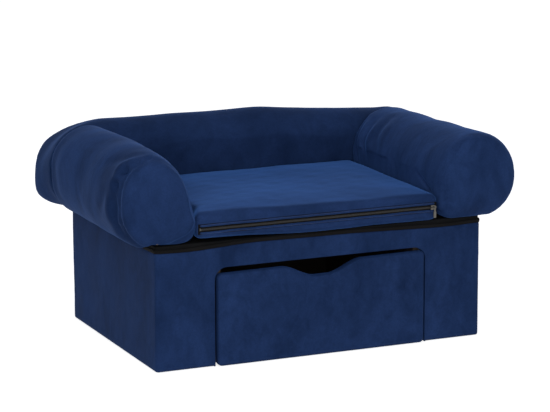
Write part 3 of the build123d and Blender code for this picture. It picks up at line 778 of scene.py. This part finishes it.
def arm_form(side, widths, heights, rim_inner, rim_outer, gather, slump):
    """Start form of an arm and the seam round its front. Widths and heights are shares of the
    frame's arm, from front to rear, and the rim's two values are the seam's places in y."""
    width = arm_width
    height = (left_arm_high.z if side < 0 else right_arm_high.z) - rest_level
    outline = roll_outline(width, height, 28 * MM, 66 * MM, ARM_STEPS)
    rear = arm_rear - 0.5 * MM

    def ring(y_at, inset, wide, tall, scale=1.0):
        across = outline[:, 0] * wide
        up = outline[:, 1] * tall
        if slump:
            y = y_at(across / width)
            across, up = slumped(across, up, y, width * wide, height * tall, slump)
        middle = np.array([across.max() + across.min(), up.max() + up.min()]) / 2
        shrink = 1 - inset / (width * wide / 2)
        across = middle[0] + (across - middle[0]) * shrink * scale
        above = up > middle[1]
        up = middle[1] + (up - middle[1]) * scale * np.where(above, shrink, 1)
        y = y_at(across / width)
        return np.stack([side * (arm_inner + across), y + 0 * across, rest_level + up], 1)

    def rim(across):
        return rim_inner + (rim_outer - rim_inner) * smooth_step(across, 0.0, 1.0)

    middle_rim = (rim_inner + rim_outer) / 2
    dome = middle_rim - arm_front
    inset = gather + ARM_SKIN
    rings = []
    for share in (0.12, 0.3, 0.48, 0.64, 0.78, 0.88, 0.95):
        bulge = math.sqrt(1 - share ** 2.6)
        flatten = share ** 1.5
        rings.append(ring(
            lambda across: flatten * rim(across) + (1 - flatten) * middle_rim - dome * bulge,
            inset, widths[0], heights[0], share,
        ))
    seam_ring = ring(rim, inset, widths[0], heights[0])
    rings.append(seam_ring)
    rear_round = 1.5 * MM
    marks = np.linspace(0, 1, len(heights))
    for share in np.linspace(0, 1, 36)[1:]:
        depth = share * (rear - middle_rim)
        to_rear = rear - middle_rim - depth
        inset = ARM_SKIN + gather * math.exp(-depth / (11 * MM))
        if to_rear < rear_round:
            inset += rear_round - math.sqrt(rear_round ** 2 - (rear_round - to_rear) ** 2)
        rings.append(ring(
            lambda across: (1 - share) * rim(across) + share * rear,
            inset, np.interp(share, marks, widths), np.interp(share, marks, heights),
        ))
    return loft("arm_left" if side < 0 else "arm_right", rings), Seam(seam_ring)


def settle_roll(piece, sag, front_sag=0.0):
    """Rests a roll on the deck. What hangs past the base's side, rear or front sags."""
    points = points_of(piece)
    side = smooth_step(np.abs(points[:, 0]), base_high.x + 1 * MM, base_high.x + 20 * MM)
    rear = smooth_step(points[:, 1], base_high.y + 1 * MM, base_high.y + 18 * MM)
    front = smooth_step(-points[:, 1], -base_low.y + 2 * MM, -base_low.y + 26 * MM)
    low_part = 1 - smooth_step(points[:, 2], rest_level + 4 * MM, rest_level + 80 * MM)
    drop = np.maximum(np.maximum(side, rear) * sag, front * front_sag)
    points[:, 2] -= drop * low_part
    points[:, 2] = np.maximum(points[:, 2], rest_level - np.maximum(drop, 0))
    if front_sag < 0:
        points[:, 2] -= front * front_sag * low_part
    set_points(piece, points)


def build_arm(side, *form):
    piece, seam = arm_form(side, *form)
    modify(piece, "REMESH", mode="VOXEL", voxel_size=VOXEL)
    relax(piece, 3, points_of(piece)[:, 1] < arm_rear - 14 * MM)
    points = points_of(piece)
    distance, _ = seam.measure(points)
    on_deck = points[:, 2] < rest_level + 2 * MM
    at_back = points[:, 1] > arm_rear - 8 * MM
    inflate(piece, (distance < 3.5 * MM) | on_deck | at_back, BULGE)
    relax(piece, 9, points_of(piece)[:, 1] < arm_rear - 14 * MM)
    subdivide(piece)
    return piece, seam


def end_arm(piece, side, seed, sag, front_sag):
    """Ripples an arm, settles it, and keeps it off the cushion and the back."""
    points = points_of(piece)
    waves = 1.4 * MM * ripple(points, 110 * MM, seed, 14)
    push(piece, waves + 0.10 * MM * ripple(points, 30 * MM, seed + 1, 14))
    settle_roll(piece, sag, front_sag)
    points = points_of(piece)
    beside_cushion = points[:, 2] < rest_level + 75 * MM
    reach = np.where(beside_cushion, arm_inner + 0.2 * MM, arm_inner - 2 * MM)
    points[:, 0] = side * np.maximum(side * points[:, 0], reach)
    set_points(piece, points)
    limit(piece, 1, None, arm_rear - 0.2 * MM)


def build_left_arm():
    piece, seam = build_arm(
        -1, (1.0, 1.0, 1.0, 1.005), (1.01, 1.005, 0.995, 0.975), -240 * MM, -206 * MM, 4 * MM,
        LEFT_SLUMP,
    )
    strength = seam.strength(LEFT_SEAM)
    sink_seam(piece, seam, 6.5 * MM, 10 * MM, strength)
    pucker(piece, seam, 15 * MM, 0.5 * MM, 15 * MM, strength, 11)
    press_pits(piece, LEFT_PITS)
    press_creases(piece, LEFT_CREASES)
    end_arm(piece, -1, 21, 8 * MM, 5 * MM)
    finish_piece(piece, plush_left_arm, "base", ("arm_cover_left", "arm_filling_left"))


def build_right_arm():
    piece, seam = build_arm(
        1, (1.03, 1.01, 1.0, 1.0), (1.040, 1.010, 0.992, 0.977), -240 * MM, -227 * MM, 3 * MM,
        None,
    )
    strength = seam.strength(RIGHT_SEAM)
    sink_seam(piece, seam, 2.0 * MM, 7 * MM, strength)
    pucker(piece, seam, 14 * MM, 0.5 * MM, 13 * MM, strength, 12)
    press_creases(piece, RIGHT_CREASES)
    end_arm(piece, 1, 31, 2 * MM, -14 * MM)
    finish_piece(piece, plush_right_arm, "base", ("arm_cover_right", "arm_filling_right"))


build_left_arm()
build_right_arm()


# Back

BACK_FRONT_CORNER = 96 * MM
BACK_FRONT_LOW_CORNER = 68 * MM
BACK_LEFT_CORNER = 162 * MM
BACK_RIGHT_CORNER = 106 * MM
BACK_LOW_CORNER = 41 * MM
BACK_PLAN_CORNER = 44 * MM
BACK_DROOP = 20 * MM  # how much lower the crest is at the right than left of DROOP_START
DROOP_START, DROOP_RUN = 60 * MM, 240 * MM


def quarter_round(share):
    """Rises from 0 to 1 as a quarter of an ellipse."""
    return np.sqrt(np.clip(1 - (1 - np.clip(share, 0, 1)) ** 2, 0, 1))


def back_limits(x, y):
    """Crest, highest and lowest level and rear face of the back at a place along it, for points
    at the given depths. Its round ends follow the arms' section where they meet them."""
    inward = back_high.x + 1 * MM - abs(x)
    top = back_high.z - BACK_DROOP * np.clip((x - DROOP_START) / DROOP_RUN, 0, 1)
    end_corner = BACK_LEFT_CORNER if x < 0 else BACK_RIGHT_CORNER
    further = smooth_step(y, back_low.y + 8 * MM, back_low.y + 85 * MM)
    corner = BACK_FRONT_CORNER + (end_corner - BACK_FRONT_CORNER) * further
    crest = back_high.z + 2 * MM
    low_corner = BACK_FRONT_LOW_CORNER + (BACK_LOW_CORNER - BACK_FRONT_LOW_CORNER) * further
    tall = np.minimum(corner, crest - rest_level - low_corner - 4 * MM)
    high = crest - tall * (1 - quarter_round(inward / corner))
    low = rest_level + low_corner * (1 - quarter_round(inward / low_corner))
    rear = back_high.y + 1 * MM - BACK_PLAN_CORNER * (1 - quarter_round(inward / BACK_PLAN_CORNER))
    return top, high, low, rear


def build_back():
    height = back_high.z - back_low.z
    outline = roll_outline(back_high.y - back_low.y, height, 20 * MM, 46 * MM, 110)
    shares = np.sin(np.linspace(-1, 1, 91) * QUARTER * 0.98)
    rings = []
    for x in shares / shares.max() * (back_high.x + 1 * MM):
        y = back_low.y + outline[:, 0]
        top, high, low, rear = back_limits(x, y)
        z = rest_level + outline[:, 1] - np.where(outline[:, 1] > height / 2, back_high.z - top, 0)
        rings.append(np.stack([np.full(len(y), x), np.minimum(y, rear), np.clip(z, low, high)], 1))
    piece = loft("back_roll", rings)
    modify(piece, "REMESH", mode="VOXEL", voxel_size=VOXEL)

    def free_points():
        points = points_of(piece)
        return (points[:, 1] > back_low.y + 12 * MM) | (np.abs(points[:, 0]) < arm_inner)

    relax(piece, 4, free_points())
    points = points_of(piece)
    held = points[:, 2] < rest_level + 2 * MM
    held |= (points[:, 1] < back_low.y + 8 * MM) & (np.abs(points[:, 0]) > arm_inner + 8 * MM)
    inflate(piece, held, BULGE)
    relax(piece, 6, free_points())
    subdivide(piece)
    points = points_of(piece)
    waves = 1.2 * MM * ripple(points, 150 * MM, 41, 12)
    push(piece, waves + 0.10 * MM * ripple(points, 40 * MM, 42, 12))
    settle_roll(piece, 4 * MM)
    limit(piece, 1, back_low.y + 0.3 * MM, None)
    finish_piece(piece, plush_back, "base", ("back_cover", "back_filling"))


build_back()


# Seat cushion and its zip

ZIP_LEVEL = (coil_low.z + coil_high.z) / 2
ZIP_HALF = coil_high.x + 2 * MM
CUSHION_CORNER = 5 * MM
CUSHION_EDGE = 5 * MM
CUSHION_BULGE = 18 * MM  # how far its left side swells out at the front, where the arm gives way
ZIP_LEFT = -ZIP_HALF - CUSHION_BULGE
ZIP_BAND = 4.4 * MM  # half the height of the slot that the zip shows in


def plan_ring(half, front, rear, corner, z, steps=36):
    """Rounded rectangle at height z, with the same number of points on each side and corner."""
    corners = []
    for turn, (x, y) in enumerate((
        (half - corner, front + corner), (half - corner, rear - corner),
        (-half + corner, rear - corner), (-half + corner, front + corner),
    )):
        angles = (turn - 1) * QUARTER + np.linspace(0, QUARTER, 8)
        corners.append(np.stack([x + corner * np.cos(angles), y + corner * np.sin(angles)], 1))
    path = []
    for index, bend in enumerate(corners):
        run = np.linspace(0, 1, steps)[1:-1, None]
        path += [bend, bend[-1] + (corners[(index + 1) % 4][0] - bend[-1]) * run]
    flat = np.vstack(path)
    return np.column_stack([flat, np.full(len(flat), z)])


def build_cushion():
    skin = 2.0 * MM
    half = cushion_high.x - skin
    front = cushion_low.y + skin
    rear = cushion_high.y - skin
    middle = (front + rear) / 2
    low = cushion_low.z + 0.4 * MM
    high = cushion_high.z - skin
    edge = CUSHION_EDGE

    def face_ring(share, z):
        return plan_ring(half * share, middle + (front - middle) * share,
                         middle + (rear - middle) * share, 10 * MM * share, z)

    def edge_ring(angle, level, way):
        inset = edge * (1 - math.sin(angle))
        z = level + way * edge * (1 - math.cos(angle))
        return plan_ring(half - inset, front + inset, rear - inset, CUSHION_CORNER, z)

    shares = (0.1, 0.3, 0.5, 0.7, 0.85)
    turn = np.linspace(0, QUARTER, 5)
    rings = [face_ring(share, low) for share in shares]
    rings += [edge_ring(angle, low, 1) for angle in turn]
    for share in (0.25, 0.5, 0.75):
        z = low + edge + (high - low - 2 * edge) * share
        rings.append(plan_ring(half, front, rear, CUSHION_CORNER, z))
    rings += [edge_ring(angle, high, -1) for angle in turn[::-1]]
    rings += [face_ring(share, high) for share in shares[::-1]]
    piece = loft("cushion", rings)
    seams = [Seam(rings[7], 1600), Seam(rings[-8], 1600)]
    modify(piece, "REMESH", mode="VOXEL", voxel_size=VOXEL)
    relax(piece, 2)
    points = points_of(piece)
    held = (points[:, 1] < front + 4 * MM) & (np.abs(points[:, 2] - ZIP_LEVEL) < 9 * MM)
    held |= points[:, 2] < low + 1.5 * MM
    for seam in seams:
        held |= seam.measure(points)[0] < 3.5 * MM
    inflate(piece, held, 8 * MM)
    relax(piece, 3)
    subdivide(piece)
    for seam in seams[::-1]:
        sink_seam(piece, seam, 1.6 * MM, 2.6 * MM)
    shape_cushion(piece, front, high)
    finish_piece(piece, plush_cushion, "cushion", ("cushion_cover", "cushion_foam"))


def shape_cushion(piece, front, high):
    """Ripples the cushion, raises and swells its left front, and presses in the zip's slot."""
    points = points_of(piece)
    top = smooth_step(points[:, 2], high - 12 * MM, high)
    waves = 0.7 * MM * ripple(points, 130 * MM, 51) + 0.2 * MM * ripple(points, 45 * MM, 52)
    from_zip = np.abs(points[:, 2] - ZIP_LEVEL)
    on_band = smooth_step(-points[:, 1], -front - 6 * MM, -front)
    on_band *= 1 - smooth_step(from_zip, 8 * MM, 16 * MM)
    push(piece, waves * (1 - on_band))
    x, y, z = points_of(piece).T
    z += 5 * MM * smooth_step(-x, -100 * MM, 220 * MM) * smooth_step(-y, -20 * MM, 220 * MM) * top
    under = 1 - smooth_step(z, cushion_low.z + 2 * MM, ZIP_LEVEL - 8 * MM)
    at_left = smooth_step(-x, 20 * MM, 200 * MM)
    z += 6 * MM * at_left * smooth_step(-y, 160 * MM, 225 * MM) * under
    in_slot = (x < ZIP_HALF + 1 * MM) & (x > ZIP_LEFT - 1 * MM) & (y < front + 5 * MM)
    slot = 1 - smooth_step(np.abs(z - ZIP_LEVEL), ZIP_BAND - 0.6 * MM, ZIP_BAND + 1.6 * MM)
    y = np.where(in_slot, y + slot * (zip_tape_high.y + 0.6 * MM - y), y)
    x = np.clip(x, -cushion_high.x - 0.4 * MM, cushion_high.x + 0.4 * MM)
    swollen = CUSHION_BULGE * smooth_step(-y, 165 * MM, 228 * MM)
    x = x - swollen * smooth_step(-x, 140 * MM, cushion_high.x)
    y = np.clip(y, cushion_low.y - 3 * MM, cushion_high.y + 0.3 * MM)
    set_points(piece, np.stack([x, y, np.maximum(z, cushion_low.z)], 1))


def tube(path, radius, around, flat=1.0, across=None):
    """A closed tube along an open path of points, which runs mostly along X, or in a plane
    across the given direction."""
    path = np.asarray(path)
    angles = np.linspace(0, TURN, around, endpoint=False)[:, None]
    rings = []
    for index, point in enumerate(path):
        ahead = path[min(index + 1, len(path) - 1)] - path[max(index - 1, 0)]
        ahead = ahead / np.linalg.norm(ahead)
        side = np.cross(ahead, (0, 0, 1.0) if across is None else across)
        side /= np.linalg.norm(side)
        if across is None:
            first, second = side * flat, np.cross(side, ahead)
        else:
            first, second = np.array(across), side
        rings.append(point + radius * (np.cos(angles) * first + np.sin(angles) * second))
    return loft("tube", rings)


def join(name, pieces):
    """One piece from several."""
    points, faces = [], []
    for piece in pieces:
        start = len(points)
        points.extend(points_of(piece))
        faces.extend([tuple(start + v for v in face.vertices) for face in piece.data.polygons])
        bpy.data.objects.remove(piece)
    whole = new_piece(name, points, faces)
    whole.data.polygons.foreach_set("use_smooth", [True] * len(faces))
    return whole


def build_zip_seams():
    """The rolled edges of the cushion's slot and the row of stitches along each."""
    face = cushion_low.y
    places = np.linspace(ZIP_LEFT - 1 * MM, ZIP_HALF + 1 * MM, 150)
    from_end = np.minimum(places - ZIP_LEFT, ZIP_HALF - places)
    y = face + 1.6 * MM + 5 * MM * (1 - smooth_step(from_end, -1 * MM, 5 * MM))
    lips = []
    for sign in (-1, 1):
        line = np.column_stack([places, 0 * places, 0 * places])
        z = ZIP_LEVEL + sign * (6.3 * MM + 0.35 * MM * ripple(line, 70 * MM, 60 + sign))
        lips.append(tube(np.column_stack([places, y, z]), 1.9 * MM, 10, 0.95))
    finish_piece(join("zip_lips", lips), plush_cushion, "cushion")
    stitches = []
    pitch = 3.6 * MM
    for sign in (-1, 1):
        for index in range(int((ZIP_HALF - ZIP_LEFT - 6 * MM) / pitch)):
            x = ZIP_LEFT + 3 * MM + pitch * (index + 0.5)
            path = [(x + shift * MM, face + (deep - 0.15) * MM, ZIP_LEVEL + sign * 7.4 * MM)
                    for shift, deep in ((-1.2, 0.45), (-0.6, 0), (0.6, 0), (1.2, 0.45))]
            stitches.append(tube(path, 0.26 * MM, 6))
    finish_piece(join("zip_stitches", stitches), thread_blue, "cushion")


def build_zip():
    """Tape, teeth and end stops."""
    rows, columns = 13, 140
    points = []
    for z in np.linspace(ZIP_LEVEL - 9 * MM, ZIP_LEVEL + 9 * MM, rows):
        dip = 0.075 * MM * math.cos(TURN * (z - ZIP_LEVEL) / (2.4 * MM))
        for x in np.linspace(zip_tape_low.x - CUSHION_BULGE, zip_tape_high.x, columns):
            points.append((x, zip_tape_low.y + 0.3 * MM + dip, z))
    tape = new_piece("zip_tape_cloth", points, grid_faces(rows, columns))
    tidy_faces(tape)
    thicken(tape, 0.5 * MM, 0.0)
    finish_piece(tape, zip_cloth, "cushion", ("zip_tape",))
    along_x = (1.0, 0, 0)
    pitch = 0.85 * MM
    start = coil_low.x - CUSHION_BULGE
    front = coil_low.y + 0.25 * MM
    rear = coil_high.y - 0.35 * MM
    reach = (coil_high.z - coil_low.z) / 2 - 0.4 * MM
    teeth = []
    for index in range(int((coil_high.x - start) / pitch)):
        x = start + pitch * (index + 0.5)
        sign = 1 if index % 2 else -1
        path = [(x, rear, reach), (x + 0.1 * MM, front + 0.3 * MM, reach * 0.9),
                (x + 0.2 * MM, front, reach * 0.3), (x + 0.2 * MM, front, -0.9 * MM),
                (x + 0.2 * MM, front + 0.5 * MM, -1.3 * MM)]
        path = [(a, b, ZIP_LEVEL + sign * c) for a, b, c in path]
        teeth.append(tube(path, 0.38 * MM, 6, across=along_x))
    finish_piece(join("zip_teeth", teeth), coil_nylon, "cushion", ("zip_coil",))
    stops = []
    for middle in (start - 0.4 * MM, (stop_high.x + coil_high.x) / 2):
        for x in (middle - 0.9 * MM, middle, middle + 0.9 * MM):
            path = [(x, stop_high.y, ZIP_LEVEL + reach), (x, stop_low.y, ZIP_LEVEL + reach * 0.7),
                    (x, stop_low.y, ZIP_LEVEL - reach * 0.7), (x, stop_high.y, ZIP_LEVEL - reach)]
            stops.append(tube(path, 0.55 * MM, 6, across=along_x))
    finish_piece(join("zip_ends", stops), zip_metal, "cushion", ("zip_stops",))


build_cushion()
build_zip_seams()
build_zip()


# Base cover, tape and deck cloth

TAPE_MARKS_X = np.array([-311, -260, -210, -160, -120, -60, 60, 130, 200, 250, 311]) * MM
TAPE_MARKS_RISE = np.array([2.0, -0.6, 1.2, 5.0, 6.0, 5.0, 4.0, 2.0, -0.4, -1.0, 1.0]) * MM
OPENING_HALF = 201 * MM
OPENING_TOP = 174 * MM
OPENING_CORNER = 22 * MM
OPENING_DEPTH = 15 * MM
BASE_CORNER = 6 * MM
PILE_HANG = 2.2 * MM  # how far the plush reaches below the covers' lower edges
FLOOR_GAP = 0.2 * MM  # what the plush keeps from the floor


def tape_rise(x, y):
    """How far the tape's lower edge is above the base's top edge: it waves along the front."""
    along_front = np.interp(x, TAPE_MARKS_X, TAPE_MARKS_RISE)
    for shift in (12 * MM, 24 * MM):
        beside = sum(np.interp(x + way * shift, TAPE_MARKS_X, TAPE_MARKS_RISE) for way in (-1, 1))
        along_front = 0.5 * along_front + 0.25 * beside
    nearness = 1 - smooth_step(np.asarray(y, float), base_low.y, base_low.y + 80 * MM)
    other = 0.8 * MM * np.sin(TURN * (x + y) / (230 * MM))
    return nearness * along_front + (1 - nearness) * other


def arch_height(x):
    over = np.abs(x) - (OPENING_HALF - OPENING_CORNER)
    curve = np.sqrt(np.clip(OPENING_CORNER ** 2 - np.clip(over, 0, None) ** 2, 0, None))
    return OPENING_TOP - OPENING_CORNER + np.where(over > 0, curve, OPENING_CORNER)


def base_plan(half, front, rear):
    """The walls' outline from the opening's right side round to its left side, as (x, y, way
    out) for each point."""
    side_x = np.linspace(OPENING_HALF, half - BASE_CORNER, 18)
    forwards = (0.0, -1.0)
    plan = [(x, front, forwards) for x in side_x]
    across, near, far = half - BASE_CORNER, front + BASE_CORNER, rear - BASE_CORNER
    centres = [(across, near), (across, far), (-across, far), (-across, near)]
    for turn, (x, y) in enumerate(centres):
        for angle in (turn - 1) * QUARTER + np.linspace(0, QUARTER, 7):
            way = (math.cos(angle), math.sin(angle))
            plan.append((x + BASE_CORNER * way[0], y + BASE_CORNER * way[1], way))
        for share in np.linspace(0, 1, (34, 50, 34, 2)[turn])[1:-1]:
            next_x, next_y = centres[turn + 1]
            plan.append((x + (next_x - x) * share + BASE_CORNER * way[0],
                         y + (next_y - y) * share + BASE_CORNER * way[1], way))
    plan += [(x, front, forwards) for x in -side_x[::-1]]
    return plan[:1] + [
        item for before, item in zip(plan, plan[1:]) if math.dist(item[:2], before[:2]) > 0.01 * MM
    ]


def build_base_cover():
    """Plush over the four walls, turned in at the top and the floor, and into the opening."""
    half, front, rear = base_high.x, base_low.y, base_high.y
    low = base_low.z - PILE_HANG
    lip = 3.0 * MM
    hem = 12 * MM
    rows = 12
    spring = OPENING_TOP - OPENING_CORNER
    under = [(hem, low + 0.2 * MM), (lip, low), (lip * 0.3, low + lip * 0.3), (0, low + lip)]
    under += [(0, z) for z in np.linspace(low, spring, 30)[2:-1]]

    def upper(level, top):
        line = [(0, z) for z in np.linspace(level, top - lip, rows)]
        return line + [(lip * 0.3, top - lip * 0.3), (lip, top), (hem, top)]

    walls = []
    for x, y, way in base_plan(half, front, rear):
        line = under + upper(spring, base_high.z + float(tape_rise(x, y)))
        walls.append([(x - way[0] * inset, y - way[1] * inset, z) for inset, z in line])
    bend = OPENING_HALF - OPENING_CORNER
    corner_x = bend + OPENING_CORNER * np.sin(np.linspace(0, QUARTER, 12)[::-1])
    arch = []
    for x in np.concatenate([-corner_x, np.linspace(-bend, bend, 56)[1:-1], corner_x[::-1]]):
        line = upper(float(arch_height(x)), base_high.z + float(tape_rise(x, front)))
        arch.append([(x, front + inset, z) for inset, z in line])
    foot = len(under)
    chain = walls[-1][3:foot + 1] + [line[0] for line in arch[1:-1]] + walls[0][foot:2:-1]
    chain = np.array(chain)
    chain[0, 2] = chain[-1, 2] = low
    depths = [lip * (1 - math.cos(angle)) for angle in np.linspace(0, QUARTER, 5)]
    depths += list(np.linspace(lip, OPENING_DEPTH, 5)[1:])
    lining = [chain + (0, depth, 0) for depth in depths]
    points, faces = [], []
    for grid in (walls, arch, lining):
        grid = np.array(grid)
        faces += grid_faces(*grid.shape[:2], start=len(points))
        points += list(grid.reshape(-1, 3))
    piece = new_piece("base_plush", points, faces)
    tidy_faces(piece, 0.05 * MM)
    subdivide(piece)
    points = points_of(piece)
    from_rim = np.minimum(points[:, 1] - front, rear - points[:, 1])
    on_wall = np.minimum(half - np.abs(points[:, 0]), from_rim) < 1 * MM
    over_opening = points[:, 2] - arch_height(points[:, 0])
    beside_opening = np.abs(points[:, 0]) - OPENING_HALF
    calm = smooth_step(points[:, 2], low, low + 20 * MM)
    calm *= smooth_step(np.maximum(over_opening, beside_opening), 1 * MM, 8 * MM)
    amount = 0.45 * MM * ripple(points, 120 * MM, 71) + 0.15 * MM * ripple(points, 30 * MM, 72)
    push(piece, np.where(on_wall, amount * calm, 0))
    thicken(piece, 2.0 * MM)
    limit(piece, 2, FLOOR_GAP)
    finish_piece(piece, plush_base, "base", ("base_cover",))


def build_tape():
    """A band of cloth that goes round the base, with its own lower and upper edge."""
    skin = 0.5 * MM
    ring = plan_ring(base_high.x + skin, base_low.y - skin, base_high.y + skin, BASE_CORNER, 0, 110)
    x, y = ring[:, 0], ring[:, 1]
    low = base_high.z - 0.6 * MM + tape_rise(x, y)
    height = 6.4 * MM + 0.4 * MM * np.sin(TURN * (x * 3 + y * 2) / (400 * MM))
    away = ring - (0, (base_low.y + base_high.y) / 2, 0)
    away /= np.linalg.norm(away, axis=1)[:, None]
    rows = 7
    rings = []
    for share in np.linspace(0, 1, rows):
        line = ring + away * (0.5 * MM * math.sin(math.pi * share))
        rings.append(np.column_stack([line[:, :2], low + height * share]))
    piece = new_piece("edge_tape", np.vstack(rings), grid_faces(rows, len(ring), True))
    tidy_faces(piece)
    thicken(piece, 1.2 * MM)
    finish_piece(piece, brown_tape, "base", ("deck_edge_tape",))


def build_deck_cloth():
    half, front, rear = deck_high.x, deck_low.y, deck_high.y
    low, top = deck_low.z, deck_high.z
    edge = 1.4 * MM

    def ring(inset, z):
        return plan_ring(half - inset, front + inset, rear - inset, BASE_CORNER, z, 60)

    rings = [ring(0, low + share * (top - low - edge)) for share in (0, 0.5, 1)]
    for angle in np.linspace(0, QUARTER, 6)[1:]:
        rings.append(ring(edge * (1 - math.cos(angle)), top - edge * (1 - math.sin(angle))))
    middle = np.array([0, (front + rear) / 2, top])
    flat = ring(edge, top)
    rings += [middle + (flat - middle) * share for share in np.linspace(1, 0, 30)[1:-1]]
    count = len(flat)
    points = np.vstack([*rings, [middle]])
    start, last = (len(rings) - 1) * count, len(points) - 1
    faces = grid_faces(len(rings), count, True)
    faces += [(start + j, start + (j + 1) % count, last) for j in range(count)]
    piece = new_piece("deck_cover", points, faces)
    tidy_faces(piece)
    points = points_of(piece)
    on_top = points[:, 2] > top - 0.3 * MM
    points[:, 2] -= np.where(on_top, 0.25 * MM * (1 + ripple(points, 80 * MM, 81)), 0)
    set_points(piece, points)
    thicken(piece, 0.8 * MM)
    finish_piece(piece, black_cloth, "base", ("deck_cloth",))


def build_dust_cloths():
    for side in ("left", "right"):
        low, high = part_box("dust_cloth_" + side)
        rows, columns = 40, 14
        points = []
        for y in np.linspace(low.y, high.y, rows):
            for x in np.linspace(low.x, high.x, columns):
                across = math.sin(math.pi * (x - low.x) / (high.x - low.x))
                along = math.sin(math.pi * (y - low.y) / (high.y - low.y))
                points.append((x, y, high.z - 0.25 * MM - 1.2 * MM * across * along))
        piece = new_piece("under_cloth_" + side, points, grid_faces(rows, columns))
        tidy_faces(piece)
        thicken(piece, 0.4 * MM, 0.0)
        finish_piece(piece, dust_weave, "base", ("dust_cloth_" + side,))


build_base_cover()
build_tape()
build_deck_cloth()
build_dust_cloths()


# Drawer front

SCOOP_HALF = 66 * MM
SCOOP_FLOOR_HALF = 23 * MM
SCOOP_DEPTH = 21 * MM


def scoop_drop(x):
    """How far the front's top edge dips for the fingers, with soft shoulders and a flat floor."""
    return SCOOP_DEPTH * (
        1 - smooth_step(np.abs(x), SCOOP_FLOOR_HALF - 11 * MM, SCOOP_HALF + 10 * MM)
    )


def build_drawer_front():
    """Plush over the drawer's board: a slightly domed face whose rounded rim runs back."""
    half = drawer_high.x
    low = drawer_low.z - PILE_HANG
    high = drawer_high.z
    front = drawer_low.y
    corner, edge, dome, tilt = 7 * MM, 4.5 * MM, 2.0 * MM, 2.0 * MM
    rows = 54
    corner_x = half - corner + corner * np.sin(np.linspace(0, QUARTER, 9))
    straight = np.linspace(-half + corner, half - corner, 150)[1:-1]
    xs = np.concatenate([-corner_x[::-1], straight, corner_x])
    count = len(xs)
    over = np.clip(np.abs(xs) - (half - corner), 0, corner)
    drop = corner - np.sqrt(np.clip(corner ** 2 - over ** 2, 0, None))
    tops = high - drop - scoop_drop(xs) + tilt * xs / half
    levels = np.linspace(low + drop, tops, rows).T
    flat = np.stack([np.repeat(xs[:, None], rows, 1), levels], 2)
    middle = np.array([0, (low + high) / 2])
    inner = middle + (flat - middle) * (1 - edge / half, 1 - 2 * edge / (high - low))
    from_middle = np.abs(inner - middle) / (half, (high - low) / 2)
    y = front + dome * (0.25 + 0.75 * from_middle.max(2) ** 4)
    i, j = np.array(
        [(i, 0) for i in range(count)] + [(count - 1, j) for j in range(1, rows)]
        + [(i, rows - 1) for i in range(count - 2, -1, -1)] + [(0, j) for j in range(rows - 2, 0, -1)]
    ).T

    def ring(plan, depth):
        return np.column_stack([plan[:, 0], depth + 0 * plan[:, 0], plan[:, 1]])

    rim, outline, start = inner[i, j], flat[i, j], y[i, j]
    rear = front + dome + edge
    rings = []
    for angle in np.linspace(0, QUARTER, 6):
        depth = start + (rear - start) * (1 - math.cos(angle))
        rings.append(ring(rim + (outline - rim) * math.sin(angle), depth))
    rings += [ring(outline, depth) for depth in np.linspace(rear, board_high.y, 5)[1:]]
    points = np.vstack([ring(inner.reshape(-1, 2), y.ravel()), *rings])
    faces = grid_faces(count, rows) + grid_faces(len(rings), len(rim), True, count * rows)
    piece = new_piece("drawer_plush", points, faces)
    tidy_faces(piece)
    subdivide(piece)
    points = points_of(piece)
    on_face = smooth_step(-points[:, 1], -front - 6 * MM, -front - 2 * MM)
    waves = 0.5 * MM * ripple(points, 90 * MM, 91) + 0.15 * MM * ripple(points, 25 * MM, 92)
    push(piece, on_face * waves)
    thicken(piece, 2.2 * MM)
    limit(piece, 2, FLOOR_GAP)
    finish_piece(piece, plush_drawer, "drawer", ("drawer_front_cover",))


build_drawer_front()
